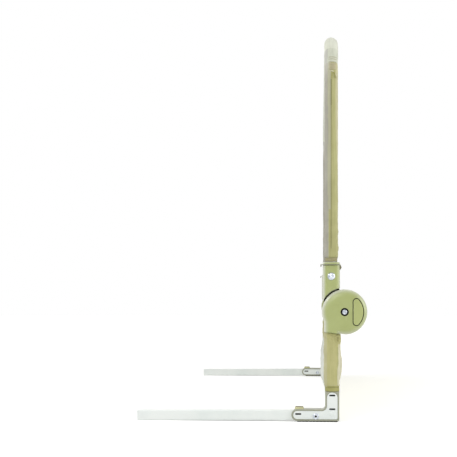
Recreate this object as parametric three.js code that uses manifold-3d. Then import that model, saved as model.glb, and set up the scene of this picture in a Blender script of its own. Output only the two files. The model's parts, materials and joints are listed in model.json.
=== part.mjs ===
// A folding bed guard rail. Two foot bars lie under the mattress and hold up the lower frame.
// The upper frame folds down outwards at two round hinges, each with a release button.
// Millimetres. +X points away from the bed, +Y runs along the rail, +Z is up.
import * as THREE from "three";
import * as BufferGeometryUtils from "three/addons/utils/BufferGeometryUtils.js";
import Module from "manifold-3d";

const wasm = await Module();
wasm.setup();

// Overall sizes
const postSpacing = 920;
const railHeight = 565;
const footReach = 283;

// Gaps between pieces
const fitClearance = 0.3;
const tubeFit = 0.15;
const cutOverrun = 1;
const weldDistance = 0.0001;

// Steel tube of the frame
const tubeDiameter = 16;
const tubeWall = 1.2;
const topBendRadius = 45;
const topStubLength = 40;
const topSpigotLength = 30;
const spigotClearance = 0.25;

// Fabric cover of the upper frame
const sleeveWall = 1.5;
const sleeveHemGap = 6.6;
const upperPanelThickness = 5;
const hingeFabricSplit = 3;
const panelHingeClearance = 2;

// Hinge
const pivotOut = 18.9;
const pivotHeight = 158.5;
const hingeRadius = 32.6;
const hingeEdgeRound = 5;
const tongueThickness = 12;
const tongueGap = 0.5;
const tongueRadius = 18;
const coverDepth = 12.5;
const housingDepth = 10.5;
const shellWall = 2.5;
const shellRimWall = 3;
const webStartAngle = 168;
const webEndAngle = 270;
const tailWidth = 22.6;
const tailOut = 1;
const tailInnerDrop = 28.4;
const tailOuterDrop = 31.3;
const tailCornerRadius = 5;

// Pivot bolt
const boltDiameter = 6;
const boltClearance = 0.25;
const boltHeadDiameter = 8.4;
const boltHeadHeight = 3;
const boltRecessDiameter = 11.5;
const boltRecessDepth = 3.2;
const boltBossDiameter = 17;
const hexSides = 6;
const hexKeyWidth = 4;
const hexKeyDepth = 1.6;
const nutWidth = 10;
const nutHeight = 5;
const nutPocketDepth = 5.5;

// Release button
const buttonFlatOut = 11.3;
const buttonArcRadius = 28.1;
const buttonCornerRadius = 5.5;
const buttonSlotClearance = 0.6;
const buttonProud = 0.8;
const buttonFlangeWidth = 1.2;
const buttonFlangeThickness = 1.5;
const buttonPegDiameter = 5;
const buttonPegLength = 1.6;
const springDiameter = 8.4;
const springWire = 0.9;
const lockPlateThickness = 1.2;
const lockPlateGap = 0.5;

// Hinge arm, which holds the upper frame
const armWidth = 24.7;
const armDepth = 25;
const armCornerRadius = 7;
const armArcGap = 2;
const armBoreFloor = 4.9;
const armBoreDepth = 32.4;
const neckInset = 1.4;
const neckLeftAngle = 160;
const neckOuterAngle = 156.5;
const neckRightAngle = 98;
const collarTopDrop = 2.6;
const collarThickness = 2.2;
const collarReach = 3.3;
const collarOuterReach = 0.9;
const collarLipDrop = 9.2;
const collarLipShoulderDrop = 5.3;
const collarLipReach = 2.6;
const collarLipLength = 16;
const rivetRise = 11.7;
const rivetHeadDiameter = 11.2;
const rivetHeadHeight = 2.6;
const rivetShankDiameter = 5;
const rivetTailDiameter = 9;
const rivetTailHeight = 1.6;

// Lower post and the socket that holds its top
const lowerPostOut = 1.3;
const lowerPostTopGap = 1;
const lowerPostFoot = 4;
const lowerSocketWidth = 21.4;
const lowerSocketDepth = 22;
const lowerSocketCorner = 6;
const lowerSocketDrop = 73.5;
const lowerRivetRise = 19;
const lowerRivetHeadDiameter = 9;
const lowerRivetHeadHeight = 1.2;

// Lower fabric sleeve
const lowerSleeveWall = 1;
const lowerSleeveTopGap = 0.6;
const lowerSleeveBottom = 44;
const lowerSleeveSwellHeight = 22;

// Corner bracket
const bracketWidth = 20.3;
const bracketArmHeight = 18.3;
const bracketReach = 57.4;
const bracketTop = 52;
const bracketNeckInset = 1;
const bracketEndRadius = 8.3;
const bracketHeelRadius = 2.5;
const bracketInnerRadius = 5;
const soleThickness = 1.4;
const soleInset = 0.6;
const crossTubeHeight = 11;
const crossSocketLength = 15;
const crossSocketWall = 2;
const crossSocketFloor = 1;

// White plate on the bracket
const plateThickness = 2;
const plateRecess = 1.3;
const plateRim = 2.6;
const plateTopHeight = 42.6;
const plateGap = 0.3;
const slotLength = 8.7;
const slotHeight = 2.5;
const slotCornerRadius = 1;
const slotPocket = 0.8;
const upperSlotHeight = 38.4;
const lowerSlotHeight = 18.7;
const endSlotInset = 9.8;
const endSlotHeight = 11.4;
const bracketScrewInset = 35.1;
const bracketScrewHeight = 8.3;
const screwHeadDiameter = 9;
const screwHeadHeight = 1.2;
const screwShankDiameter = 4;
const screwRecessDiameter = 3;
const screwRecessDepth = 0.8;
const screwTailDiameter = 7;
const screwTailHeight = 1.2;
const cornerRivetHeight = 12;
const cornerRivetHeadDiameter = 8.6;
const cornerRivetHeadHeight = 1.3;

// Foot bar
const barHeight = 14.5;
const barWidth = 16;
const barWall = 1.3;
const barCornerRadius = 1.6;
const barMouthHeight = 1.9;
const barEndWall = 2.5;
const plugLength = 12;
const plugRecess = 0.4;

// Fabric tab on the bracket's arm
const tabLength = 12.6;
const tabHeight = 3.8;
const tabLayer = 1.1;
const tabCornerRadius = 1.25;
const tabInnerRadius = 0.5;
const tabWidth = 18;
const tabInset = 4.8;

// Lower fabric panel
const lowerPanelThickness = 27;
const lowerPanelFootThickness = 17;
const lowerPanelWidestShare = 0.61;
const lowerPanelNarrowDrop = 34.5;

// Facets
const roundSides = 24;
const smallSides = 12;
const wireSides = 5;
const springTurns = 3;
const springSteps = 8;
const bendSteps = 6;
const cornerSteps = 2;
const buttonSteps = 4;
const edgeSteps = 3;
const domeSteps = 3;
const panelSteps = 5;
const sleeveSteps = 8;

// Places that follow from the sizes
const halfSpacing = postSpacing / 2;
const tubeRadius = tubeDiameter / 2;
const tubeBore = tubeRadius - tubeWall;
const tubeSeat = tubeRadius + tubeFit;
const sleeveInner = tubeRadius + fitClearance;
const sleeveOuter = sleeveInner + sleeveWall;
const topTubeHeight = railHeight - sleeveOuter;
const bendStart = topTubeHeight - topBendRadius;
const stubEnd = topBendRadius + topStubLength;
const shellStart = tongueThickness / 2 + tongueGap;
const coverFace = shellStart + coverDepth;
const housingFace = shellStart + housingDepth;
const coverCeiling = coverFace - shellWall;
const cavityRadius = hingeRadius - shellRimWall;
const armArcRadius = hingeRadius + armArcGap;
const armBoreBottom = pivotHeight + armArcRadius + armBoreFloor;
const armTopHeight = armBoreBottom + armBoreDepth;
const rivetHeight = armBoreBottom + rivetRise;
const sleeveHemHeight = armTopHeight + sleeveHemGap;
const pivot = [pivotOut, pivotHeight];
const flangeBack = coverCeiling - fitClearance - buttonFlangeThickness;
const lockPlateFace = shellStart + lockPlateGap + lockPlateThickness;
const buttonMiddle = pivotOut + (buttonFlatOut + buttonArcRadius) / 2;
const lowerPostTop = pivotHeight - tongueRadius - tongueGap - lowerPostTopGap;
const lowerSocketBottom = pivotHeight - lowerSocketDrop;
const lowerRivetHeight = lowerSocketBottom + lowerRivetRise;
const lowerSleeveInnerWidth = lowerSocketWidth + 2 * fitClearance;
const lowerSleeveInnerDepth = lowerSocketDepth + 2 * fitClearance;
const lowerSleeveDepth = lowerSleeveInnerDepth + 2 * lowerSleeveWall;
const bracketDepth = lowerSocketDepth;
const bracketInside = lowerPostOut - bracketWidth / 2;
const bracketHeel = lowerPostOut + bracketWidth / 2;
const crossSocketRadius = tubeSeat + crossSocketWall;
const plateFloor = bracketDepth / 2 - plateRecess;
const plateFace = plateFloor + plateThickness;
const innerPlateEnd = lowerPostOut - crossSocketRadius - fitClearance;
const barInnerEnd = lowerPostOut - tubeSeat - barEndWall;
const barSlope = Math.atan(barMouthHeight / (footReach - bracketReach));
const barFoot = -footReach + barHeight * Math.sin(barSlope);
const barEndRise = (footReach + barInnerEnd) * Math.tan(barSlope);
const channelTop = barEndRise + barHeight + fitClearance / 2;
const channelHalf = barWidth / 2 + fitClearance;
const rowCentre = (pivotOut + hingeRadius - footReach) / 2;

const steel = { color: "#b9bcc0", roughness: 0.35, metalness: 0.9 };
const zinc = { color: "#d5d9da", roughness: 0.25, metalness: 1 };
const whitePaint = { color: "#eaefec", roughness: 0.4, metalness: 0.05 };
const whitePlastic = { color: "#e2e5df", roughness: 0.5, metalness: 0 };
const greenPlastic = { color: "#b0b97c", roughness: 0.5, metalness: 0 };
const greyPlastic = { color: "#999b8a", roughness: 0.55, metalness: 0 };
const blackRubber = { color: "#3a3c34", roughness: 0.9, metalness: 0 };
const khakiFabric = { color: "#bab47f", roughness: 0.95, metalness: 0 };
const paleFabric = { color: "#ddd9bb", roughness: 0.95, metalness: 0 };
const webbing = { color: "#c9c78f", roughness: 0.95, metalness: 0 };

const radians = (degrees) => (degrees * Math.PI) / 180;

// A closed geometry as a solid that can be cut and joined, its faces outwards.
function solid(geometry) {
  const bare = geometry.index ? geometry.toNonIndexed() : geometry.clone();
  bare.deleteAttribute("normal");
  bare.deleteAttribute("uv");
  const merged = BufferGeometryUtils.mergeVertices(bare, weldDistance);
  const vertProperties = merged.attributes.position.array;
  const corners = Array.from(merged.index.array);
  const made = (triVerts) =>
    new wasm.Manifold(new wasm.Mesh({ numProp: 3, vertProperties, triVerts }));
  const first = made(new Uint32Array(corners));
  return first.volume() > 0 ? first : made(new Uint32Array(corners.reverse()));
}

// A solid back as a geometry.
function geometryOf(shape) {
  const mesh = shape.getMesh();
  const geometry = new THREE.BufferGeometry();
  geometry.setAttribute("position", new THREE.BufferAttribute(mesh.vertProperties, 3));
  geometry.setIndex(new THREE.BufferAttribute(mesh.triVerts, 1));
  geometry.computeVertexNormals();
  return geometry;
}

// A round bar along Y, from one place to another, across the given X and Z.
function rodY(radius, from, to, [x, z] = [0, 0], sides = roundSides) {
  const geometry = new THREE.CylinderGeometry(radius, radius, to - from, sides);
  geometry.translate(x, (from + to) / 2, z);
  return solid(geometry);
}

// A round bar along Z.
function rodZ(radius, from, to, [x, y] = [0, 0], sides = roundSides) {
  const geometry = new THREE.CylinderGeometry(radius, radius, to - from, sides);
  geometry.rotateX(Math.PI / 2);
  geometry.translate(x, y, (from + to) / 2);
  return solid(geometry);
}

// A block between two opposite corners.
function block(low, high) {
  const size = high.map((value, i) => value - low[i]);
  const geometry = new THREE.BoxGeometry(...size);
  geometry.translate(...low.map((value, i) => value + size[i] / 2));
  return solid(geometry);
}

// An outline extruded, standing in its own plane.
function extruded(shape, depth, curveSegments = cornerSteps) {
  return new THREE.ExtrudeGeometry(shape, { depth, bevelEnabled: false, curveSegments });
}

// An outline in X and Z, thick from one Y to another.
function plateXZ(shape, from, to, curveSegments = cornerSteps) {
  const geometry = extruded(shape, to - from, curveSegments);
  geometry.rotateX(Math.PI / 2);
  geometry.translate(0, to, 0);
  return solid(geometry);
}

// An outline in X and Y, tall from one Z to another.
function columnXY(shape, from, to) {
  return solid(extruded(shape, to - from).translate(0, 0, from));
}

// A rectangle with round corners about a centre.
function roundedRectangle([x, y], width, height, radius) {
  const left = x - width / 2;
  const right = x + width / 2;
  const low = y - height / 2;
  const high = y + height / 2;
  const shape = new THREE.Shape();
  shape.moveTo(left + radius, low);
  shape.lineTo(right - radius, low);
  shape.absarc(right - radius, low + radius, radius, -Math.PI / 2, 0);
  shape.lineTo(right, high - radius);
  shape.absarc(right - radius, high - radius, radius, 0, Math.PI / 2);
  shape.lineTo(left + radius, high);
  shape.absarc(left + radius, high - radius, radius, Math.PI / 2, Math.PI);
  shape.lineTo(left, low + radius);
  shape.absarc(left + radius, low + radius, radius, Math.PI, Math.PI * 1.5);
  return shape;
}

// A straight-sided outline through points.
function polygon(points) {
  return new THREE.Shape(points.map(([x, y]) => new THREE.Vector2(x, y)));
}

// A disc about a Y axis from its flat side to its face, the face's edge rounded.
function roundEdgedDisc(radius, flat, face, edge, [x, z]) {
  const way = Math.sign(face - flat);
  const points = [new THREE.Vector2(0, flat), new THREE.Vector2(radius, flat)];
  for (let i = 0; i <= edgeSteps; i += 1) {
    const angle = (i / edgeSteps) * (Math.PI / 2);
    const out = radius - edge + edge * Math.cos(angle);
    points.push(new THREE.Vector2(out, face - way * edge * (1 - Math.sin(angle))));
  }
  points.push(new THREE.Vector2(0, face));
  return solid(new THREE.LatheGeometry(points, roundSides).translate(x, 0, z));
}

// A low dome on a flat seat, its crown towards -Y.
function dome(diameter, height, seat, [x, z]) {
  const points = [new THREE.Vector2(0, seat), new THREE.Vector2(diameter / 2, seat)];
  for (let i = 1; i < domeSteps; i += 1) {
    const angle = (i / domeSteps) * (Math.PI / 2);
    const out = (diameter / 2) * Math.cos(angle);
    points.push(new THREE.Vector2(out, seat - height * Math.sin(angle)));
  }
  points.push(new THREE.Vector2(0, seat - height));
  return solid(new THREE.LatheGeometry(points, smallSides).translate(x, 0, z));
}

// A path whose stations are joined by one step each.
class StationPath extends THREE.Curve {
  constructor(stations) {
    super();
    this.stations = stations;
  }

  getPoint(t, target = new THREE.Vector3()) {
    const last = this.stations.length - 1;
    const place = Math.min(Math.max(t, 0), 1) * last;
    const before = Math.min(Math.floor(place), last - 1);
    return target.lerpVectors(this.stations[before], this.stations[before + 1], place - before);
  }

  getPointAt(u, target) {
    return this.getPoint(u, target);
  }

  getTangentAt(u, target) {
    return this.getTangent(u, target);
  }
}

// A round bar through stations.
function barThrough(stations, radius, sides) {
  const ring = [];
  for (let i = 0; i < sides; i += 1) {
    const angle = (i / sides) * Math.PI * 2;
    ring.push([radius * Math.cos(angle), radius * Math.sin(angle)]);
  }
  const geometry = new THREE.ExtrudeGeometry(polygon(ring), {
    steps: stations.length - 1,
    bevelEnabled: false,
    extrudePath: new StationPath(stations),
  });
  return solid(geometry);
}

// The stations of a bend in the YZ plane about a centre, between two angles.
function bend([y, z], radius, fromAngle, toAngle) {
  const stations = [];
  for (let i = 0; i <= bendSteps; i += 1) {
    const angle = fromAngle + ((toAngle - fromAngle) * i) / bendSteps;
    const along = y + radius * Math.cos(angle);
    stations.push(new THREE.Vector3(0, along, z + radius * Math.sin(angle)));
  }
  return stations;
}

// The button's outline about the pivot, grown by an offset.
function buttonOutline(grow) {
  const corner = buttonCornerRadius;
  const cornerOut = buttonFlatOut + corner;
  const cornerUp = Math.sqrt((buttonArcRadius - corner) ** 2 - cornerOut ** 2);
  const turn = Math.atan2(cornerUp, cornerOut);
  const flat = pivotOut + buttonFlatOut - grow;
  const shape = new THREE.Shape();
  shape.moveTo(flat, pivotHeight + cornerUp);
  shape.lineTo(flat, pivotHeight - cornerUp);
  shape.absarc(
    pivotOut + cornerOut, pivotHeight - cornerUp, corner + grow, Math.PI, Math.PI * 2 - turn,
  );
  shape.absarc(pivotOut, pivotHeight, buttonArcRadius + grow, -turn, turn);
  shape.absarc(pivotOut + cornerOut, pivotHeight + cornerUp, corner + grow, turn, Math.PI);
  return shape;
}

// The wedge of the hinge where its two shells meet, from the pivot outwards.
function webWedge(from, to) {
  const reach = 2 * hingeRadius;
  const middle = (webStartAngle + webEndAngle) / 2;
  const rays = [webStartAngle, middle, webEndAngle].map((angle) => [
    pivotOut + reach * Math.cos(radians(angle)),
    pivotHeight + reach * Math.sin(radians(angle)),
  ]);
  return plateXZ(polygon([pivot, ...rays]), from, to);
}

// The height of the tail's slanted lower edge at an X.
function tailBottom(x) {
  const middle = pivotHeight - (tailInnerDrop + tailOuterDrop) / 2;
  return middle - ((tailOuterDrop - tailInnerDrop) * (x - tailOut)) / tailWidth;
}

// What lies between the tail's lower edge, moved by a drop, and another height.
function beyondTailEdge(drop, height, from, to) {
  const left = tailOut - tailWidth;
  const right = tailOut + tailWidth;
  const corners = [
    [left, tailBottom(left) - drop], [right, tailBottom(right) - drop], [right, height], [left, height],
  ];
  return plateXZ(polygon(height > tailBottom(tailOut) ? corners : corners.reverse()), from, to);
}

// The tail of the hinge's shells, which goes down to the lower sleeve.
function tail(from, to) {
  const middle = (housingFace - coverFace) / 2;
  const depth = housingFace + coverFace;
  const outline = roundedRectangle([tailOut, middle], tailWidth, depth, tailCornerRadius);
  return columnXY(outline, lowerSocketBottom, pivotHeight)
    .intersect(beyondTailEdge(0, pivotHeight + cutOverrun, from, to));
}

function lowerPostBore() {
  return rodZ(tubeSeat, lowerSocketBottom - cutOverrun, lowerPostTop + fitClearance,
    [lowerPostOut, 0]);
}

function hingeCover() {
  const shell = roundEdgedDisc(hingeRadius, -shellStart, -coverFace, hingeEdgeRound, pivot);
  const hollow = rodY(cavityRadius, -coverCeiling, -shellStart + cutOverrun, pivot)
    .subtract(webWedge(-coverFace, 0))
    .subtract(rodY(boltBossDiameter / 2, -coverFace, 0, pivot));
  const slot = plateXZ(
    buttonOutline(0), -coverFace - cutOverrun, -coverCeiling + cutOverrun, buttonSteps,
  );
  const recess = rodY(
    boltRecessDiameter / 2, -coverFace - cutOverrun, -coverFace + boltRecessDepth, pivot, smallSides,
  );
  const hole = rodY(boltDiameter / 2 + boltClearance, -coverFace, 0, pivot, smallSides);
  return shell
    .add(tail(-coverFace, -shellStart))
    .subtract(hollow)
    .subtract(slot)
    .subtract(recess)
    .subtract(hole)
    .subtract(lowerPostBore());
}

function hingeHousing() {
  const shell = roundEdgedDisc(hingeRadius, shellStart, housingFace, hingeEdgeRound, pivot);
  const seam = -shellStart + fitClearance;
  const web = rodY(hingeRadius, seam, shellStart, pivot)
    .intersect(webWedge(seam, shellStart))
    .subtract(rodY(tongueRadius + tongueGap, seam - cutOverrun, shellStart, pivot));
  const socketOutline = roundedRectangle(
    [lowerPostOut, 0], lowerSocketWidth, lowerSocketDepth, lowerSocketCorner,
  );
  const socket = columnXY(socketOutline, lowerSocketBottom, lowerPostTop)
    .subtract(beyondTailEdge(fitClearance, pivotHeight, -lowerSocketDepth, seam))
    .subtract(rodY(hingeRadius + fitClearance, -lowerSocketDepth, seam, pivot));
  const tailPart = tail(seam, housingFace).subtract(
    rodY(tongueRadius + tongueGap, seam - cutOverrun, shellStart, pivot),
  );
  const hole = rodY(boltDiameter / 2 + boltClearance, 0, housingFace, pivot, smallSides);
  const pocket = rodY(
    nutWidth / Math.sqrt(3) + fitClearance, housingFace - nutPocketDepth, housingFace + cutOverrun,
    pivot, hexSides,
  );
  const rivetHole = rodY(
    rivetShankDiameter / 2 + tubeFit, -lowerSocketDepth, lowerSocketDepth,
    [lowerPostOut, lowerRivetHeight], smallSides,
  );
  const sinkDepth = lowerRivetHeadHeight + fitClearance;
  const sinkFloor = lowerSocketDepth / 2 - sinkDepth;
  const sink = (from, to) =>
    rodY(lowerRivetHeadDiameter / 2 + fitClearance, from, to, [lowerPostOut, lowerRivetHeight],
      smallSides);
  return shell
    .add(web)
    .add(tailPart)
    .add(socket)
    .subtract(hole)
    .subtract(pocket)
    .subtract(lowerPostBore())
    .subtract(rivetHole)
    .subtract(sink(-lowerSocketDepth, -sinkFloor))
    .subtract(sink(sinkFloor, lowerSocketDepth));
}

function pivotBolt() {
  const seat = -coverFace + boltRecessDepth;
  const shank = rodY(boltDiameter / 2, seat, housingFace - fitClearance, pivot, smallSides);
  const key = rodY(
    hexKeyWidth / Math.sqrt(3), seat - boltHeadHeight - cutOverrun,
    seat - boltHeadHeight + hexKeyDepth, pivot, hexSides,
  );
  const head = roundEdgedDisc(
    boltHeadDiameter / 2, seat, seat - boltHeadHeight, boltHeadHeight / 2, pivot,
  );
  return head.add(shank).subtract(key);
}

function pivotNut() {
  const seat = housingFace - nutPocketDepth + tubeFit;
  return rodY(nutWidth / Math.sqrt(3), seat, seat + nutHeight, pivot, hexSides).subtract(
    rodY(boltDiameter / 2 + tubeFit, 0, housingFace + cutOverrun, pivot, smallSides),
  );
}

// The steel plate behind the button, which closes the button's room off from the tongue.
function lockPlate() {
  const edge = pivotOut + boltBossDiameter / 2 + fitClearance;
  const side = block(
    [edge, -coverFace, pivotHeight - hingeRadius],
    [pivotOut + hingeRadius, 0, pivotHeight + hingeRadius],
  );
  const from = -lockPlateFace;
  return rodY(cavityRadius - fitClearance, from, from + lockPlateThickness, pivot).intersect(side);
}

function releaseButton() {
  const cap = plateXZ(
    buttonOutline(-buttonSlotClearance), -coverFace - buttonProud, -flangeBack, buttonSteps,
  );
  const flange = plateXZ(
    buttonOutline(buttonFlangeWidth), -coverCeiling + fitClearance, -flangeBack, buttonSteps,
  );
  const peg = rodY(
    buttonPegDiameter / 2, -flangeBack - buttonFlangeThickness / 2, -flangeBack + buttonPegLength,
    [buttonMiddle, pivotHeight], smallSides,
  );
  return cap.add(flange).add(peg);
}

// A coil spring along Y between the button's flange and the lock plate.
function buttonSpring() {
  const inset = fitClearance + springWire / 2;
  const start = -flangeBack + inset;
  const end = -lockPlateFace - inset;
  const radius = (springDiameter - springWire) / 2;
  const stations = [];
  for (let i = 0; i <= springTurns * springSteps; i += 1) {
    const angle = (i / springSteps) * Math.PI * 2;
    const along = start + ((end - start) * i) / (springTurns * springSteps);
    const x = buttonMiddle + radius * Math.cos(angle);
    stations.push(new THREE.Vector3(x, along, pivotHeight + radius * Math.sin(angle)));
  }
  return barThrough(stations, springWire / 2, wireSides);
}

function hingeArm() {
  const outline = roundedRectangle([0, 0], armWidth, armDepth, armCornerRadius);
  const socket = columnXY(outline, pivotHeight, armTopHeight).subtract(
    rodY(armArcRadius, -armDepth, armDepth, pivot, 2 * roundSides),
  );
  const side = armWidth / 2 - neckInset;
  const neckTop = armBoreBottom;
  const onTongue = (angle) => [
    pivotOut + tongueRadius * Math.cos(radians(angle)),
    pivotHeight + tongueRadius * Math.sin(radians(angle)),
  ];
  const neck = polygon([
    pivot,
    onTongue(neckRightAngle),
    [side, pivotHeight + armArcRadius],
    [side, neckTop],
    [-side, neckTop],
    [-side, pivotHeight - (pivotOut + side) * Math.tan(radians(neckOuterAngle))],
    onTongue(neckLeftAngle),
  ]);
  const half = tongueThickness / 2;
  const collarTop = armTopHeight - collarTopDrop;
  const collarOutline = roundedRectangle(
    [(collarOuterReach - collarReach) / 2, 0], armWidth + collarReach + collarOuterReach,
    armDepth + 2 * collarReach, armCornerRadius + collarReach,
  );
  const collar = columnXY(collarOutline, collarTop - collarThickness, collarTop);
  const wall = armWidth / 2;
  const lipTop = collarTop - collarThickness / 2;
  const lipFoot = collarTop - collarLipDrop;
  const lipOutline = polygon([
    [wall - cutOverrun, lipFoot],
    [wall, lipFoot],
    [wall + collarLipReach, collarTop - collarLipShoulderDrop],
    [wall + collarOuterReach, lipTop],
    [wall - cutOverrun, lipTop],
  ]);
  const lip = plateXZ(lipOutline, -collarLipLength / 2, collarLipLength / 2);
  const bore = rodZ(tubeSeat, armBoreBottom, armTopHeight + cutOverrun);
  const rivetHole = rodY(
    rivetShankDiameter / 2 + tubeFit, -armDepth, armDepth, [0, rivetHeight], smallSides,
  );
  return socket
    .add(plateXZ(neck, -half, half))
    .add(rodY(tongueRadius, -half, half, pivot))
    .add(collar)
    .add(lip)
    .subtract(bore)
    .subtract(rivetHole)
    .subtract(rodY(boltDiameter / 2 + boltClearance, -armDepth, armDepth, pivot, smallSides));
}

// A rivet with a domed head outside and a flat tail inside.
function armRivet() {
  const across = [0, rivetHeight];
  const head = dome(rivetHeadDiameter, rivetHeadHeight, -armDepth / 2, across);
  const shank = rodY(rivetShankDiameter / 2, -armDepth / 2 - rivetHeadHeight / 2, armDepth / 2,
    across, smallSides);
  const tailDisc = rodY(rivetTailDiameter / 2, armDepth / 2, armDepth / 2 + rivetTailHeight,
    across, smallSides);
  return head.add(shank).add(tailDisc);
}

function lowerRivet() {
  const across = [lowerPostOut, lowerRivetHeight];
  const face = lowerSocketDepth / 2 - tubeFit;
  const disc = (from, to) => rodY(lowerRivetHeadDiameter / 2, from, to, across, smallSides);
  return rodY(rivetShankDiameter / 2, -face, face, across, smallSides)
    .add(disc(-face, -face + lowerRivetHeadHeight))
    .add(disc(face - lowerRivetHeadHeight, face));
}

// The post of the upper frame with its bend and the stub that takes the top tube.
function sideTube() {
  const foot = armBoreBottom + fitClearance;
  const arc = bend([topBendRadius, bendStart], topBendRadius, Math.PI, Math.PI / 2);
  const path = (extra) => [
    new THREE.Vector3(0, 0, foot - extra),
    ...arc,
    new THREE.Vector3(0, stubEnd + extra, topTubeHeight),
  ];
  const rivetHole = rodY(
    rivetShankDiameter / 2 + tubeFit, -tubeDiameter, tubeDiameter, [0, rivetHeight], smallSides,
  );
  return barThrough(path(0), tubeRadius, roundSides)
    .subtract(barThrough(path(cutOverrun), tubeBore, roundSides))
    .subtract(rivetHole);
}

function topTube() {
  const end = halfSpacing - stubEnd - fitClearance;
  const spigotEnd = end + topSpigotLength;
  const spigotRadius = tubeBore - spigotClearance;
  const at = [0, topTubeHeight];
  return rodY(tubeRadius, -end, end, at)
    .subtract(rodY(tubeBore, -end + topSpigotLength, end - topSpigotLength, at))
    .add(rodY(spigotRadius, -spigotEnd, -end + cutOverrun, at))
    .add(rodY(spigotRadius, end - cutOverrun, spigotEnd, at))
    .subtract(
      rodY(spigotRadius - tubeWall, -spigotEnd - cutOverrun, spigotEnd + cutOverrun, at),
    );
}

// The fabric sleeve round both posts, both bends and the top tube.
function upperSleeve() {
  const arcCentre = halfSpacing - topBendRadius;
  const near = bend([-arcCentre, bendStart], topBendRadius, Math.PI, Math.PI / 2);
  const far = bend([arcCentre, bendStart], topBendRadius, Math.PI / 2, 0);
  const path = (extra) => [
    new THREE.Vector3(0, -halfSpacing, sleeveHemHeight - extra),
    ...near,
    ...far,
    new THREE.Vector3(0, halfSpacing, sleeveHemHeight - extra),
  ];
  return barThrough(path(0), sleeveOuter, roundSides).subtract(
    barThrough(path(cutOverrun), sleeveInner, roundSides),
  );
}

// The upper panel inside the sleeve, its outline drawn as seen from the front.
function upperPanel() {
  const edge = halfSpacing - sleeveOuter - fitClearance;
  const hingeEdge = halfSpacing - housingFace - panelHingeClearance;
  const low = pivotHeight + hingeFabricSplit / 2;
  const corner = topBendRadius - sleeveOuter - fitClearance;
  const arcCentre = halfSpacing - topBendRadius;
  const shape = new THREE.Shape();
  shape.moveTo(-hingeEdge, low);
  shape.lineTo(hingeEdge, low);
  shape.lineTo(hingeEdge, sleeveHemHeight);
  shape.lineTo(edge, sleeveHemHeight);
  shape.lineTo(edge, bendStart);
  shape.absarc(arcCentre, bendStart, corner, 0, Math.PI / 2);
  shape.lineTo(-arcCentre, bendStart + corner);
  shape.absarc(-arcCentre, bendStart, corner, Math.PI / 2, Math.PI);
  shape.lineTo(-edge, sleeveHemHeight);
  shape.lineTo(-hingeEdge, sleeveHemHeight);
  const geometry = extruded(shape, upperPanelThickness, cornerSteps);
  geometry.rotateX(Math.PI / 2);
  geometry.rotateZ(Math.PI / 2);
  geometry.translate(-upperPanelThickness / 2, 0, 0);
  return solid(geometry);
}

// The lower panel: a soft slab that swells between the cross tube and the hinge line.
function lowerPanel() {
  const foot = crossTubeHeight + crossSocketRadius + fitClearance;
  const top = pivotHeight - hingeFabricSplit / 2;
  const narrow = pivotHeight - lowerPanelNarrowDrop;
  const widest = foot + (narrow - foot) * lowerPanelWidestShare;
  const sideCurve = (side) =>
    new THREE.SplineCurve([
      new THREE.Vector2(lowerPostOut + (side * lowerPanelFootThickness) / 2, foot),
      new THREE.Vector2(lowerPostOut + (side * lowerPanelThickness) / 2, widest),
      new THREE.Vector2((side * upperPanelThickness) / 2, narrow),
    ]).getPoints(panelSteps * 2);
  const right = sideCurve(1);
  const left = sideCurve(-1).reverse();
  const topRight = new THREE.Vector2(upperPanelThickness / 2, top);
  const topLeft = new THREE.Vector2(-upperPanelThickness / 2, top);
  const outline = new THREE.Shape([...right, topRight, topLeft, ...left]);
  const edge = halfSpacing - lowerSleeveDepth / 2 - fitClearance;
  const hingeEdge = halfSpacing - housingFace - panelHingeClearance;
  const corner = (side) => {
    const from = Math.min(side * hingeEdge, side * halfSpacing);
    const to = Math.max(side * hingeEdge, side * halfSpacing);
    const reach = lowerPanelThickness;
    return block([-reach, from, narrow], [reach, to, top + cutOverrun]);
  };
  return plateXZ(outline, -edge, edge).subtract(corner(1)).subtract(corner(-1));
}

function lowerPost() {
  const rivetHole = rodY(
    rivetShankDiameter / 2 + tubeFit, -tubeDiameter, tubeDiameter,
    [lowerPostOut, lowerRivetHeight], smallSides,
  );
  const at = [lowerPostOut, 0];
  return rodZ(tubeRadius, lowerPostFoot, lowerPostTop, at)
    .subtract(rodZ(tubeBore, lowerPostFoot - cutOverrun, lowerPostTop + cutOverrun, at))
    .subtract(rivetHole);
}

function crossTube() {
  const end = halfSpacing - bracketDepth / 2 - crossSocketFloor - fitClearance;
  const at = [lowerPostOut, crossTubeHeight];
  return rodY(tubeRadius, -end, end, at).subtract(
    rodY(tubeBore, -end - cutOverrun, end + cutOverrun, at),
  );
}

// A column round the lower post that swells from a narrower hem to its full outline.
function swollenColumn([width, depth], corner, [lessWidth, lessDepth], from, to) {
  const outline = roundedRectangle([0, 0], width, depth, corner);
  const geometry = new THREE.ExtrudeGeometry(outline, {
    depth: to - from, steps: sleeveSteps, bevelEnabled: false, curveSegments: cornerSteps,
  });
  const places = geometry.attributes.position;
  for (let i = 0; i < places.count; i += 1) {
    const up = Math.min(places.getZ(i) / lowerSleeveSwellHeight, 1);
    const share = 1 - up * up * (3 - 2 * up);
    places.setX(i, places.getX(i) * (1 - (share * lessWidth) / width));
    places.setY(i, places.getY(i) * (1 - (share * lessDepth) / depth));
  }
  return solid(geometry.translate(lowerPostOut, 0, from));
}

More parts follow.
